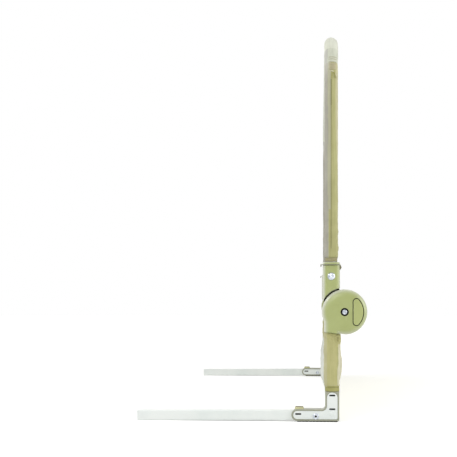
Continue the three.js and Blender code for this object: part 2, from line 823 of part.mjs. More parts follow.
// The loose sleeve round the lower post, which hides the socket's lower half.
function lowerSleeve() {
  const width = lowerSleeveInnerWidth;
  const depth = lowerSleeveInnerDepth;
  const corner = lowerSocketCorner + fitClearance;
  const neckRoom = 2 * (fitClearance - bracketNeckInset);
  const less = [width - bracketWidth - neckRoom, depth - bracketDepth - neckRoom];
  const outer = swollenColumn(
    [width + 2 * lowerSleeveWall, depth + 2 * lowerSleeveWall], corner + lowerSleeveWall, less,
    lowerSleeveBottom, lowerPostTop,
  );
  const inner = swollenColumn(
    [width, depth], corner, less, lowerSleeveBottom - cutOverrun, lowerPostTop + cutOverrun,
  );
  return outer
    .subtract(inner)
    .subtract(
      beyondTailEdge(lowerSleeveTopGap, pivotHeight, -lowerSleeveDepth, lowerSleeveDepth),
    )
    .subtract(rodY(hingeRadius + fitClearance, -lowerSleeveDepth, lowerSleeveDepth, pivot));
}

// The L of the bracket seen from the end, drawn in from its edge by an inset.
function bracketOutline(inset, top, roundTop) {
  const left = -bracketReach + inset;
  const right = bracketHeel - inset;
  const inside = bracketInside + inset;
  const low = soleThickness + inset;
  const armTop = bracketArmHeight - inset;
  const end = Math.min(bracketEndRadius, (armTop - low) / 2);
  const heel = bracketHeelRadius;
  const inner = bracketInnerRadius + inset;
  const shape = new THREE.Shape();
  shape.moveTo(left + end, low);
  shape.lineTo(right - heel, low);
  shape.absarc(right - heel, low + heel, heel, -Math.PI / 2, 0);
  if (roundTop) {
    const radius = (right - inside) / 2;
    shape.lineTo(right, top - radius);
    shape.absarc(inside + radius, top - radius, radius, 0, Math.PI);
  } else {
    shape.lineTo(right, top);
    shape.lineTo(inside, top);
  }
  shape.lineTo(inside, armTop + inner);
  shape.absarc(inside - inner, armTop + inner, inner, 0, -Math.PI / 2, true);
  shape.lineTo(left + end, armTop);
  shape.absarc(left + end, armTop - end, end, Math.PI / 2, Math.PI);
  shape.absarc(left + end, low + end, end, Math.PI, Math.PI * 1.5);
  return shape;
}

const armSlot = [-bracketReach + endSlotInset, endSlotHeight];
const slotPlaces = [[lowerPostOut, upperSlotHeight], [lowerPostOut, lowerSlotHeight], armSlot];
const screwPlace = [-bracketReach + bracketScrewInset, bracketScrewHeight];
const cornerRivetPlace = [lowerPostOut, cornerRivetHeight];

// Slots at the given places, from one Y to another.
function slots(places, from, to) {
  return places
    .map((at) => plateXZ(roundedRectangle(at, slotLength, slotHeight, slotCornerRadius), from, to))
    .reduce((all, next) => all.add(next));
}

// The hole for the screw right through the arm and the hole for the corner rivet.
function fastenerHoles() {
  const radius = screwShankDiameter / 2 + tubeFit;
  const start = -plateFace - cutOverrun;
  return rodY(radius, start, -start, screwPlace, smallSides)
    .add(rodY(radius, start, -channelHalf + cutOverrun, cornerRivetPlace, smallSides));
}

// What lies beside the cross tube's socket on the bracket's inner side.
function besideSocket(from, to, clearance) {
  const reach = 2 * bracketReach;
  return block([-reach, from, -reach], [innerPlateEnd - clearance, to, reach]);
}

function cornerBracket() {
  const half = bracketDepth / 2;
  const shoulder = lowerSleeveBottom - fitClearance;
  const body = plateXZ(bracketOutline(0, shoulder, false), -half, half);
  const neckOutline = roundedRectangle(
    [lowerPostOut, 0], bracketWidth - 2 * bracketNeckInset, bracketDepth - 2 * bracketNeckInset,
    lowerSocketCorner + fitClearance,
  );
  const neck = columnXY(neckOutline, bracketArmHeight, bracketTop);
  const boss = rodY(
    crossSocketRadius, half - soleInset, half + crossSocketLength, [lowerPostOut, crossTubeHeight],
  );
  const recess = plateXZ(
    bracketOutline(plateRim - plateGap, plateTopHeight + plateGap, true),
    -half - cutOverrun, -plateFloor,
  );
  const innerRecess = plateXZ(
    bracketOutline(plateRim - plateGap, bracketArmHeight, false), plateFloor, half + cutOverrun,
  ).intersect(besideSocket(0, bracketDepth, 0));
  const channel = block(
    [-bracketReach - cutOverrun, -channelHalf, 0],
    [barInnerEnd + fitClearance, channelHalf, channelTop],
  );
  const postBore = rodZ(
    tubeSeat, lowerPostFoot - fitClearance, bracketTop + cutOverrun, [lowerPostOut, 0],
  );
  const crossBore = rodY(
    tubeSeat, half + crossSocketFloor, half + crossSocketLength + cutOverrun,
    [lowerPostOut, crossTubeHeight],
  );
  return body
    .add(neck)
    .add(boss)
    .subtract(recess)
    .subtract(innerRecess)
    .subtract(channel)
    .subtract(postBore)
    .subtract(crossBore)
    .subtract(slots(slotPlaces, -plateFloor - cutOverrun, -plateFloor + slotPocket))
    .subtract(slots([armSlot], plateFloor - slotPocket, plateFloor + cutOverrun))
    .subtract(fastenerHoles());
}

function bracketPlate() {
  return plateXZ(bracketOutline(plateRim, plateTopHeight, true), -plateFace, -plateFloor)
    .subtract(slots(slotPlaces, -plateFace - cutOverrun, 0))
    .subtract(fastenerHoles());
}

// The shorter plate on the bracket's inner side, which ends at the cross tube's socket.
function bracketInnerPlate() {
  return plateXZ(bracketOutline(plateRim, bracketArmHeight, false), plateFloor, plateFace)
    .intersect(besideSocket(0, bracketDepth, plateGap))
    .subtract(slots([armSlot], 0, bracketDepth))
    .subtract(fastenerHoles());
}

// The screw that holds both plates and the foot bar in the bracket's arm.
function bracketScrew() {
  const end = plateFace + screwTailHeight;
  const head = roundEdgedDisc(
    screwHeadDiameter / 2, -plateFace, -plateFace - screwHeadHeight, screwHeadHeight / 2,
    screwPlace,
  );
  const recess = rodY(
    screwRecessDiameter / 2, -plateFace - screwHeadHeight - cutOverrun,
    -plateFace - screwHeadHeight + screwRecessDepth, screwPlace, hexSides,
  );
  return head
    .add(rodY(screwShankDiameter / 2, -plateFace - fitClearance, end, screwPlace, smallSides))
    .add(rodY(screwTailDiameter / 2, plateFace, end, screwPlace, smallSides))
    .subtract(recess);
}

function bracketRivet() {
  const shank = rodY(
    screwShankDiameter / 2, -plateFace - fitClearance, -tubeSeat - tubeFit,
    cornerRivetPlace, smallSides,
  );
  return dome(cornerRivetHeadDiameter, cornerRivetHeadHeight, -plateFace, cornerRivetPlace)
    .add(shank);
}

// The rubber strip under the bracket.
function bracketSole() {
  const left = -bracketReach + bracketEndRadius;
  const right = bracketHeel - bracketHeelRadius;
  const width = bracketDepth - 2 * soleInset;
  const outline = roundedRectangle([(left + right) / 2, 0], right - left, width, soleThickness);
  return columnXY(outline, 0, soleThickness);
}

// The fabric loop on top of the bracket's arm.
function strapTab() {
  const left = -bracketReach + tabInset;
  const low = bracketArmHeight + tubeFit;
  const middle = [left + tabLength / 2, low + tabHeight / 2];
  const outer = roundedRectangle(middle, tabLength, tabHeight, tabCornerRadius);
  const inner = roundedRectangle(
    middle, tabLength - 2 * tabLayer, tabHeight - 2 * tabLayer, tabInnerRadius,
  );
  return plateXZ(outer, -tabWidth / 2, tabWidth / 2).subtract(
    plateXZ(inner, -tabWidth, tabWidth),
  );
}

// The foot bar and its plug in the bar's own frame: the tip's lower edge at the origin, +X inwards.
const barLength = (footReach + barInnerEnd) / Math.cos(barSlope);

function barSection(inset) {
  return roundedRectangle(
    [0, 0], barHeight - 2 * inset, barWidth - 2 * inset, Math.max(barCornerRadius - inset, tubeFit),
  );
}

function alongBar(section, from, to) {
  const geometry = extruded(section, to - from);
  geometry.rotateY(Math.PI / 2);
  geometry.translate(from, 0, barHeight / 2);
  return solid(geometry);
}

// A place in the row's X and Z, in the bar's own frame.
function onBar([x, z]) {
  const along = x - barFoot;
  return [
    along * Math.cos(barSlope) + z * Math.sin(barSlope),
    -along * Math.sin(barSlope) + z * Math.cos(barSlope),
  ];
}

function footBar() {
  const screwHole = rodY(
    screwShankDiameter / 2 + fitClearance, -barWidth, barWidth, onBar(screwPlace), smallSides,
  );
  return alongBar(barSection(0), 0, barLength)
    .subtract(alongBar(barSection(barWall), -cutOverrun, barLength + cutOverrun))
    .subtract(screwHole);
}

function footBarPlug() {
  return alongBar(barSection(barWall + tubeFit), plugRecess, plugRecess + plugLength);
}

// One named mesh of a solid.
function piece(name, shape, finish) {
  const material = new THREE.MeshStandardMaterial(finish);
  const mesh = new THREE.Mesh(geometryOf(shape), material);
  mesh.name = name;
  return mesh;
}

const endPieces = [
  ["hinge_cover", hingeCover(), greenPlastic],
  ["hinge_housing", hingeHousing(), greenPlastic],
  ["hinge_arm", hingeArm(), greenPlastic],
  ["pivot_bolt", pivotBolt(), zinc],
  ["pivot_nut", pivotNut(), zinc],
  ["lock_plate", lockPlate(), steel],
  ["release_button", releaseButton(), greenPlastic],
  ["button_spring", buttonSpring(), steel],
  ["arm_rivet", armRivet(), zinc],
  ["side_tube", sideTube(), steel],
  ["lower_post", lowerPost(), steel],
  ["lower_post_rivet", lowerRivet(), zinc],
  ["lower_sleeve", lowerSleeve(), khakiFabric],
  ["corner_bracket", cornerBracket(), greyPlastic],
  ["bracket_plate", bracketPlate(), whitePaint],
  ["bracket_inner_plate", bracketInnerPlate(), whitePaint],
  ["bracket_screw", bracketScrew(), zinc],
  ["bracket_rivet", bracketRivet(), zinc],
  ["bracket_sole", bracketSole(), blackRubber],
  ["strap_tab", strapTab(), webbing],
];

const barPieces = [
  ["foot_bar", footBar(), whitePaint],
  ["foot_bar_plug", footBarPlug(), whitePlastic],
];

// One end of the rail, its post axis on the group's own Z axis and its outside towards -Y.
function railEnd(side) {
  const end = new THREE.Group();
  endPieces.forEach(([name, shape, finish]) => end.add(piece(`${name}_${side}`, shape, finish)));
  const bar = new THREE.Group();
  barPieces.forEach(([name, shape, finish]) => bar.add(piece(`${name}_${side}`, shape, finish)));
  bar.position.set(barFoot, 0, 0);
  bar.rotation.y = -barSlope;
  end.add(bar);
  return end;
}

const group = new THREE.Group();
const nearEnd = railEnd("near");
nearEnd.position.y = -halfSpacing;
const farEnd = railEnd("far");
farEnd.position.y = halfSpacing;
farEnd.scale.y = -1;
group.add(nearEnd, farEnd);
group.add(piece("top_tube", topTube(), steel));
group.add(piece("cross_tube", crossTube(), steel));
group.add(piece("upper_sleeve", upperSleeve(), khakiFabric));
group.add(piece("upper_panel", upperPanel(), paleFabric));
group.add(piece("lower_panel", lowerPanel(), paleFabric));
group.position.x = -rowCentre;

export default group;
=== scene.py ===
"""The looks of a folding bed guard rail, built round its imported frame."""

import json
import math

import bmesh
import bpy
from mathutils import Matrix, Vector, noise

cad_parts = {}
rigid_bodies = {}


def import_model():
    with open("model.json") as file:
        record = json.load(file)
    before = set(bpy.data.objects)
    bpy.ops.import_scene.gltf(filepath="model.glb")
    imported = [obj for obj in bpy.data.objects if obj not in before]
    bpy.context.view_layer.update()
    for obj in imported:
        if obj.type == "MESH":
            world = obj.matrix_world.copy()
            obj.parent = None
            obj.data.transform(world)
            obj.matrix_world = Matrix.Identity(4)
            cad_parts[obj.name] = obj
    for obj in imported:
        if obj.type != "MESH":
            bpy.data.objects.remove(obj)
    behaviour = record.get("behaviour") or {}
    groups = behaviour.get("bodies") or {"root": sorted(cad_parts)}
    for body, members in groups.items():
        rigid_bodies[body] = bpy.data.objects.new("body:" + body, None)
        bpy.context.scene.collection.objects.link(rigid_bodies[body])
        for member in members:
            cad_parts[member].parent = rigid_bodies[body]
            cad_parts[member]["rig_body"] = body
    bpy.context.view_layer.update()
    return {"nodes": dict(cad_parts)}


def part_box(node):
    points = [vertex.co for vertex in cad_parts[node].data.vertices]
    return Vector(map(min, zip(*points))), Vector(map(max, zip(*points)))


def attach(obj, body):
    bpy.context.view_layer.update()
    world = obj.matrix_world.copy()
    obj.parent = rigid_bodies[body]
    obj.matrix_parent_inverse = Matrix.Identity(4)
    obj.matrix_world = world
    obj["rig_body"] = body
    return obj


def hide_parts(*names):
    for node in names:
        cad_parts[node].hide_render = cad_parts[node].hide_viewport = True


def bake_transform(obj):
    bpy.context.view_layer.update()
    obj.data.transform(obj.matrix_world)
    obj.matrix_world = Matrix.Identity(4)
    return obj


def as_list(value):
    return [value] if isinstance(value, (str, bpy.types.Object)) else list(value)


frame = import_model()

# Lengths are in millimetres and turn into metres as each piece is finished.
# An end has its own frame: x = 0 and y = 0 on its upper post's axis, its outside towards -y.
MM = 0.001
ENDS = ("near", "far")
QUARTER = math.pi / 2
# A wave texture of scale 1 repeats at this length, in metres.
WAVE_LENGTH = math.pi / 10
TUBE_RADIUS = 8
TUBE_BORE = TUBE_RADIUS + 0.15
post_low, post_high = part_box("side_tube_near")
POST_X = (post_low.x + post_high.x) / 2
HALF_SPACING = -post_low.y / MM - TUBE_RADIUS

# Room between pieces that fit together, how far a cutter runs past what it cuts, how far joined
# solids run into each other, and how near to a surface the middle of one of its faces is
FIT = 0.3
CUT = 1
JOIN = 0.5
JOIN_THIN = 0.1
NEAR = 0.1

# Fineness of round shapes, and how near two points count as one
ARC_STEP = 6
ROUND_STEPS = 72
HEAD_STEPS = 40
SMALL_STEPS = 32
EDGE_STEPS = 4
DOME_STEPS = 12
HOUSING_STEPS = 7
SLIGHT_STEPS = 3
RECESS_STEPS = 48
DIMPLE_STEPS = 24
ARM_ARC_STEPS = 120
SHARP_ANGLE = math.radians(32)
SAME_PLACE = 0.01
SAME_POINT = 0.001
SAME_AFTER_CUT = 0.003

# Hinge
PIVOT = (18.9, 158.5)
HINGE_RADIUS = 32.6
HINGE_EDGE = 9
COVER_EDGE = 11.2
COVER_DROP = 8.4
SHELL_START = 6.5
COVER_FACE = 19
HOUSING_FACE = 17
SHELL_WALL = 2.5
CAVITY_RADIUS = 28.6
WEB_ANGLES = (168, 219, 270)
TAIL_INNER = -10.3
TAIL_OUTER = 12.3
TAIL_MIDDLE = (1, 128.65)
TAIL_SLOPE = 2.9 / 22.6
TAIL_LOW = 112
COVER_ROOM_HALF = 40
COVER_ROOM_FOOT = 100

# Pivot bolt and nut. A profile holds each radius with its height over the face it stands on.
BOLT_RADIUS = 3
BOLT_HOLE = BOLT_RADIUS + 0.25
NUT_THREAD = BOLT_RADIUS + 0.15
BOLT_HEAD_RADIUS = 4.2
BOLT_HEAD_HEIGHT = 3
KEY_RADIUS = 2.3
KEY_DEPTH = 1.6
BOLT_HEAD = (
    (BOLT_HEAD_RADIUS, 0), (BOLT_HEAD_RADIUS, 1.1), (BOLT_HEAD_RADIUS - 0.25, 1.9),
    (BOLT_HEAD_RADIUS - 0.9, 2.55), (BOLT_HEAD_RADIUS - 1.7, 2.88),
    (KEY_RADIUS, BOLT_HEAD_HEIGHT),
)
BOSS_RADIUS = 8.5
RECESS_RADIUS = 5.75
RECESS_DEPTH = 3.2
RECESS = (
    (RECESS_RADIUS + 1.4, -CUT), (RECESS_RADIUS + 0.5, 0), (RECESS_RADIUS + 0.15, 0.15),
    (RECESS_RADIUS, 0.5), (RECESS_RADIUS, RECESS_DEPTH),
)
NUT_RADIUS = 5.77
NUT_HEIGHT = 5
NUT_POCKET = 5.5
NUT_LIFT = 0.15
NUT_CORNERS = (
    (NUT_RADIUS + 1, -CUT), (NUT_RADIUS + 1, NUT_HEIGHT - 2), (NUT_RADIUS - 0.6, NUT_HEIGHT),
)

# Release button
BUTTON_FLAT = 11.3
BUTTON_ARC = 27.7
BUTTON_CORNER = 5.5
BUTTON_GAP = 1.25
BUTTON_PROUD = 0.6
BUTTON_EDGE = 1.2
FLANGE_REACH = 0.3
FLANGE_THICKNESS = 1.5
POCKET_END = -18.5
POCKET_GAP = 0.4
PEG_RADIUS = 2.3
PEG_REACH = 3.1

# Hinge arm
TONGUE_RADIUS = 18
TONGUE_ROOM = TONGUE_RADIUS + 0.5
TONGUE_HALF = 6
ARM_WIDTH = 24.7
ARM_DEPTH = 25
ARM_CORNER = 7
ARM_ARC = 34.8
ARM_ARC_ROUND = 2.4
ARM_BORE_BOTTOM = 198
ARM_TOP = 230.4
ARM_TOP_ROUND = 1.3
NECK_INSET = 1.4
# Where the neck leaves the tongue on both sides, and the line its bed side rises on
NECK_ANGLES = (98, 160)
NECK_LINE = math.radians(156.5)
COLLAR_TOP = 227.8
COLLAR_THICKNESS = 2.2
COLLAR_REACH = 3.3
COLLAR_OUTER_REACH = 0.9
COLLAR_LIP = 1
COLLAR_GROOVE = 1.8
COLLAR_ROUND = 0.5
HOOK_DROP = 1.8
HOOK_THICKNESS = 1.5
HOOK_ROUND = 0.6
LIP_LENGTH = 16
LIP_ROUND = 0.8
LIP_PROFILE = ((12.35, 218.6), (14.95, 222.5), (13.25, 226.7))
RIVET_HEIGHT = 209.7
RIVET_RADIUS = 5.6
RIVET_DOME = 2.6
RIVET_DIMPLE = ((1.5, -CUT), (1.2, 0.3), (0.6, 0.8), (0, 0.9))
RIVET_SHANK = 2.5
RIVET_TAIL = ((4.5, -0.2), (4.5, 1.1), (4, 1.6))

# Lower post and its socket
LOWER_POST_X = 1.3
SOCKET_WIDTH = 21.4
SOCKET_DEPTH = 22
SOCKET_CORNER = 6
SOCKET_BOTTOM = 85
LOWER_POST_TOP = 139
LOWER_RIVET_HEIGHT = 104
LOWER_RIVET_ROOM = 4.8

# Corner bracket, its plates and fastenings
BRACKET_WIDTH = 20.3
BRACKET_HALF = 11
BRACKET_REACH = 57.4
BRACKET_ARM_TOP = 18.3
BRACKET_SHOULDER = 43.7
BRACKET_TOP = 52
BRACKET_ROUND = 0.7
NECK_STEP = 1
POST_SEAT = 3.7
END_RADIUS = 8.3
HEEL_RADIUS = 2.5
INNER_RADIUS = 5
SOLE_TOP = 1.4
SOLE_INSET = 0.6
SOLE_GROOVE_PITCH = 5
SOLE_GROOVE_WIDTH = 1
SOLE_GROOVE_DEPTH = 0.5
PLATE_FLOOR = 9.7
PLATE_FACE = 11.7
PLATE_RIM = 2.6
PLATE_TOP = 42.6
PLATE_ROUND = 0.5
INNER_PLATE_END = -9.15
INNER_PLATE_TOP = BRACKET_ARM_TOP + 10
SLOT_LENGTH = 8.7
SLOT_HEIGHT = 2.5
SLOT_CORNER = 1
POCKET_FLOOR = 8.4
SLOT_PLACES = ((1.3, 38.4), (1.3, 18.7), (-47.6, 11.4))
SCREW_PLACE = (-22.3, 8.3)
CORNER_RIVET_PLACE = (1.3, 12)
CORNER_RIVET_RADIUS = 4.3
CORNER_RIVET_DOME = 1.3
CORNER_RIVET_JOIN = 0.3
SCREW_HEAD = ((4.5, 0), (4.5, 0.45), (4.3, 0.75), (3.9, 0.98), (3.2, 1.15), (0, 1.2))
SCREW_RECESS = ((2.1, 1.2 + CUT), (1.75, 1.05), (1.75, 0.15))
SCREW_TAIL = ((3.5, 0), (3.5, 0.8), (3.1, 1.2))
SCREW_SHANK = 2
CROSS_TUBE_HEIGHT = 11
CROSS_SOCKET_RADIUS = 10.15
CROSS_SOCKET_END = BRACKET_HALF + 15
CROSS_SOCKET_ROUND = 0.8
CHANNEL_HALF = 8.3
CHANNEL_END = -9.05
CHANNEL_TOP = 16.95

# Foot bar
BAR_TIP = -283
BAR_HEIGHT = 14.5
BAR_HALF = 8
BAR_WALL = 1.3
BAR_CORNER = 1.6
BAR_CORNER_LEAST = 0.3
BAR_SLOPE = math.radians(0.4825)
BAR_LENGTH = 273.7
PLUG_RECESS = 0.4
PLUG_LENGTH = 12
PLUG_GAP = 0.15


def node_box_mm(name):
    """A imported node's corners in its own end's frame, in millimetres."""
    low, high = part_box(name)
    return tuple(
        Vector(((corner.x - POST_X) / MM, corner.y / MM + HALF_SPACING, corner.z / MM))
        for corner in (low, high)
    )


def to_row(side):
    """From an end's own frame to the whole rail's frame."""
    way = 1 if side == "near" else -1
    place = Matrix.Translation((POST_X, -way * HALF_SPACING * MM, 0))
    return place @ Matrix.Diagonal((MM, way * MM, MM, 1))


# Outlines and solids


def moved(shape, x=0.0, y=0.0, z=0.0):
    bmesh.ops.translate(shape, verts=shape.verts, vec=(x, y, z))
    return shape


def rolled(shape, turn, axis):
    bmesh.ops.rotate(shape, verts=shape.verts, matrix=Matrix.Rotation(turn, 3, axis))
    return shape


def merged(shape, distance=SAME_PLACE):
    bmesh.ops.remove_doubles(shape, verts=shape.verts, dist=distance)
    return shape


def facing_out(shape):
    """Turns every face outwards."""
    bmesh.ops.recalc_face_normals(shape, faces=shape.faces)
    return shape


def as_mesh(shape, name="working"):
    mesh = bpy.data.meshes.new(name)
    shape.to_mesh(mesh)
    shape.free()
    return mesh


def in_scene(name, data):
    made = bpy.data.objects.new(name, data)
    bpy.context.scene.collection.objects.link(made)
    return made


def trace(start, steps):
    """A flat outline in X and Z from a start, by straight runs and by arcs about a centre."""
    shape = bmesh.new()
    last = shape.verts.new((start[0], 0, start[1]))
    for step in steps:
        if len(step) == 1:
            last = bmesh.ops.extrude_vert_indiv(shape, verts=[last])["verts"][0]
            last.co = (step[0][0], 0, step[0][1])
            continue
        centre, degrees = step
        made = bmesh.ops.spin(
            shape, geom=[last], cent=(centre[0], 0, centre[1]), axis=(0, -1, 0),
            angle=math.radians(degrees), steps=max(2, math.ceil(abs(degrees) / ARC_STEP)),
        )
        last = next(g for g in made["geom_last"] if isinstance(g, bmesh.types.BMVert))
    bmesh.ops.contextual_create(merged(shape), geom=shape.edges[:])
    return shape


def rounded_rectangle(centre, width, height, corner):
    left, right = centre[0] - width / 2, centre[0] + width / 2
    low, high = centre[1] - height / 2, centre[1] + height / 2
    return trace((left + corner, low), [
        ((right - corner, low),), ((right - corner, low + corner), 90),
        ((right, high - corner),), ((right - corner, high - corner), 90),
        ((left + corner, high),), ((left + corner, high - corner), 90),
        ((left, low + corner),), ((left + corner, low + corner), 90),
    ])


def thick(shape, start, end):
    """A flat outline made a plate from one Y to another."""
    moved(shape, y=start)
    made = bmesh.ops.extrude_face_region(shape, geom=shape.faces[:])
    raised = [g for g in made["geom"] if isinstance(g, bmesh.types.BMVert)]
    bmesh.ops.translate(shape, verts=raised, vec=(0, end - start, 0))
    return facing_out(shape)


def standing(shape):
    """A plate turned so that what ran along Y runs up Z."""
    return rolled(shape, QUARTER, "X")


def column(centre, width, depth, corner, low, high):
    """An upright column with round corners."""
    shape = standing(thick(rounded_rectangle((0, 0), width, depth, corner), low, high))
    return moved(shape, *centre)


def block(low, high):
    shape = bmesh.new()
    bmesh.ops.create_cube(shape, size=1)
    bmesh.ops.scale(shape, verts=shape.verts, vec=[b - a for a, b in zip(low, high)])
    return moved(shape, *((a + b) / 2 for a, b in zip(low, high)))


def turned(profile, centre, steps=ROUND_STEPS):
    """Points of (radius, y) turned about a Y axis through a centre."""
    shape = bmesh.new()
    points = [shape.verts.new((radius, along, 0)) for radius, along in profile]
    edges = [shape.edges.new(pair) for pair in zip(points, points[1:])]
    bmesh.ops.spin(
        shape, geom=points + edges, axis=(0, 1, 0), angle=math.tau, steps=steps, use_merge=True,
    )
    return moved(facing_out(merged(shape, SAME_POINT)), centre[0], 0, centre[1])


def headed(profile, face, way, centre, steps=HEAD_STEPS):
    """A round head or hole from a profile that stands on a face, up Y or down it."""
    points = [(radius, face + way * height) for radius, height in profile]
    first, last = ([(0, along)] if radius else [] for radius, along in (points[0], points[-1]))
    return turned(first + points + last, centre, steps)


def rod(radius, start, end, centre, steps=SMALL_STEPS):
    """A round bar along Y."""
    return headed([(radius, start), (radius, end)], 0, 1, centre, steps)


def pin(radius, low, high, centre):
    """A round bar along Z."""
    return moved(standing(rod(radius, low, high, (0, 0))), *centre)


def domed_head(radius, height, face, steps, centre):
    """A round head that stands on a face."""
    turns = [QUARTER * i / steps for i in range(steps)]
    crown = [(radius * math.cos(turn), height * math.sin(turn)) for turn in turns]
    return headed([*crown, (0, height)], face, -1, centre)


def round_edges(shape, width, chosen, steps=EDGE_STEPS, limited=True):
    bmesh.ops.bevel(
        shape, geom=[edge for edge in shape.edges if chosen(edge)], offset=width,
        offset_type="OFFSET", segments=steps, profile=0.5, affect="EDGES", clamp_overlap=limited,
        material=-1,
    )
    return shape


def on_plane(axis, places):
    """Chooses edges that lie at one of the given places on an axis."""
    return lambda edge: any(
        all(abs(vert.co[axis] - place) < SAME_PLACE for vert in edge.verts) for place in places
    )


def on_y(*places):
    return on_plane(1, places)


def on_z(*places):
    return on_plane(2, places)


def trimmed(shape, point, direction):
    """What is left on the near side of a plane, closed where it was cut."""
    made = bmesh.ops.bisect_plane(
        shape, geom=shape.verts[:] + shape.edges[:] + shape.faces[:], dist=SAME_POINT,
        plane_co=point, plane_no=direction, clear_outer=True,
    )
    cut = [g for g in made["geom_cut"] if isinstance(g, bmesh.types.BMEdge)]
    bmesh.ops.edgeloop_fill(shape, edges=cut)
    return facing_out(shape)


def combined(first, second, operation):
    """Two closed shapes made one. Both are used up."""
    holders = [in_scene("working", as_mesh(shape)) for shape in (first, second)]
    cutter = holders[0].modifiers.new("cut", "BOOLEAN")
    cutter.operation = operation
    cutter.solver = "EXACT"
    cutter.object = holders[1]
    result = holders[0].evaluated_get(bpy.context.evaluated_depsgraph_get())
    shape = bmesh.new()
    shape.from_mesh(result.to_mesh())
    result.to_mesh_clear()
    for holder in holders:
        mesh = holder.data
        bpy.data.objects.remove(holder)
        bpy.data.meshes.remove(mesh)
    return merged(shape, SAME_AFTER_CUT)


def joined(*shapes):
    total = shapes[0]
    for shape in shapes[1:]:
        total = combined(total, shape, "UNION")
    return total


def cut_by(shape, *cutters):
    for cutter in cutters:
        shape = combined(shape, cutter, "DIFFERENCE")
    return shape


def together(*shapes):
    """Separate closed shapes kept in one mesh."""
    total = bmesh.new()
    for shape in shapes:
        mesh = as_mesh(shape)
        total.from_mesh(mesh)
        bpy.data.meshes.remove(mesh)
    return total


# Materials

# A Mix node's own sockets for colours, by number, since their names are shared
FACTOR, FIRST, SECOND, MIXED = 0, 6, 7, 2


def linear(colour):
    """A hex colour as the eye names it, as the linear values that a shader takes."""
    parts = [int(colour[i:i + 2], 16) / 255 for i in (1, 3, 5)]
    return (*(p / 12.92 if p <= 0.04045 else ((p + 0.055) / 1.055) ** 2.4 for p in parts), 1)


def plug(tree, node, inputs):
    """Links sockets to a node's inputs and sets its plain values."""
    for name, value in dict(inputs).items():
        if isinstance(value, bpy.types.NodeSocket):
            tree.links.new(value, node.inputs[name])
        else:
            node.inputs[name].default_value = value


def add(tree, kind, inputs=(), **settings):
    """A node with its settings, its constant inputs and the sockets linked to it."""
    made = tree.nodes.new(kind)
    for name, value in settings.items():
        setattr(made, name, value)
    plug(tree, made, inputs)
    return made


def new_material(name):
    material = bpy.data.materials.new(name)
    material.use_nodes = True
    tree = material.node_tree
    tree.nodes.clear()
    shader = add(tree, "ShaderNodeBsdfPrincipled")
    add(tree, "ShaderNodeOutputMaterial", {"Surface": shader.outputs["BSDF"]})
    return material, tree, shader


def patches_of(tree, size, detail=3, roughness=0.55):
    """What a noise takes for soft uneven patches of about a size in millimetres on a piece."""
    place = add(tree, "ShaderNodeTexCoord").outputs["Object"]
    return {"Vector": place, "Scale": 1 / (size * MM), "Detail": detail, "Roughness": roughness}


def uneven(tree, size, low, high, detail=3):
    """A value that wanders between two in soft patches."""
    patches = add(tree, "ShaderNodeTexNoise", patches_of(tree, size, detail)).outputs[0]
    return add(tree, "ShaderNodeMapRange", {
        "Value": patches, "From Min": 0.3, "From Max": 0.7, "To Min": low, "To Max": high,
    }).outputs[0]


def graded(tree, value, low, high, first, second):
    """A colour that goes from one to another as a value goes from low to high."""
    share = add(tree, "ShaderNodeMapRange", {"Value": value, "From Min": low, "From Max": high})
    ends = [linear(c) if isinstance(c, str) else c for c in (first, second)]
    return add(
        tree, "ShaderNodeMix", {FACTOR: share.outputs[0], FIRST: ends[0], SECOND: ends[1]},
        data_type="RGBA",
    ).outputs[MIXED]


def mottled(tree, size, first, second, detail=3, high=0.65):
    """A colour that wanders between two in soft patches."""
    patches = add(tree, "ShaderNodeTexNoise", patches_of(tree, size, detail)).outputs[0]
    return graded(tree, patches, 0.35, high, first, second)


def grained(tree, size, depth, detail, roughness=0.55, over=None):
    """Relief of a grain's size and depth in millimetres, laid over another relief."""
    grain = add(tree, "ShaderNodeTexNoise", patches_of(tree, size, detail, roughness)).outputs[0]
    inputs = {"Height": grain, "Distance": depth * MM}
    if over:
        inputs["Normal"] = over
    return add(tree, "ShaderNodeBump", inputs).outputs[0]


def painted_sheen_share(tree):
    """Where a pale sheen is painted: 1 where a surface is rounding over from the end's face to its
    side, most on the bed side.
    """
    normal = add(tree, "ShaderNodeNewGeometry").outputs["Normal"]
    parts = add(tree, "ShaderNodeSeparateXYZ", {"Vector": normal}).outputs
    outwards = add(tree, "ShaderNodeMath", {0: parts["Y"]}, operation="ABSOLUTE").outputs[0]
    share = 1.0
    for value, start, end, at_start, at_end in (
        (outwards, 0.96, 0.62, 0.0, 1.0), (outwards, 0.05, 0.4, 0.3, 1.0),
        (parts["X"], -0.3, 0.5, 0.88, 0.3),
    ):
        part = add(tree, "ShaderNodeMapRange", {
            "Value": value, "From Min": start, "From Max": end, "To Min": at_start,
            "To Max": at_end,
        })
        share = add(
            tree, "ShaderNodeMath", {0: part.outputs[0], 1: share}, operation="MULTIPLY",
        ).outputs[0]
    return share


def moulded_plastic(name, light, dark, roughness, edge_sheen=None):
    """Injection-moulded polypropylene: a fine spark-eroded grain that softens every highlight,
    faint flow clouds in the colour, and, where an edge sheen colour is given, a pale sheen
    painted on rounded edges where they turn away from the end's face."""
    material, tree, shader = new_material(name)
    colour = mottled(tree, 38, light, dark, detail=2)
    if edge_sheen:
        # Rounded edges are mixed towards a paler colour: a painted sheen that stands for a
        # highlight.
        colour = graded(tree, painted_sheen_share(tree), 0, 1, colour, edge_sheen)
    plug(tree, shader, {
        "IOR": 1.49, "Coat Weight": 0.6, "Coat Roughness": 0.3, "Sheen Weight": 0.7,
        "Sheen Roughness": 0.4, "Base Color": colour,
        "Roughness": uneven(tree, 9, roughness - 0.06, roughness + 0.06),
        # The real grain is near 0.15 mm and is drawn at 0.6 mm, so that it shows.
        "Normal": grained(tree, 0.6, 0.03, 2, 0.7),
    })
    return material


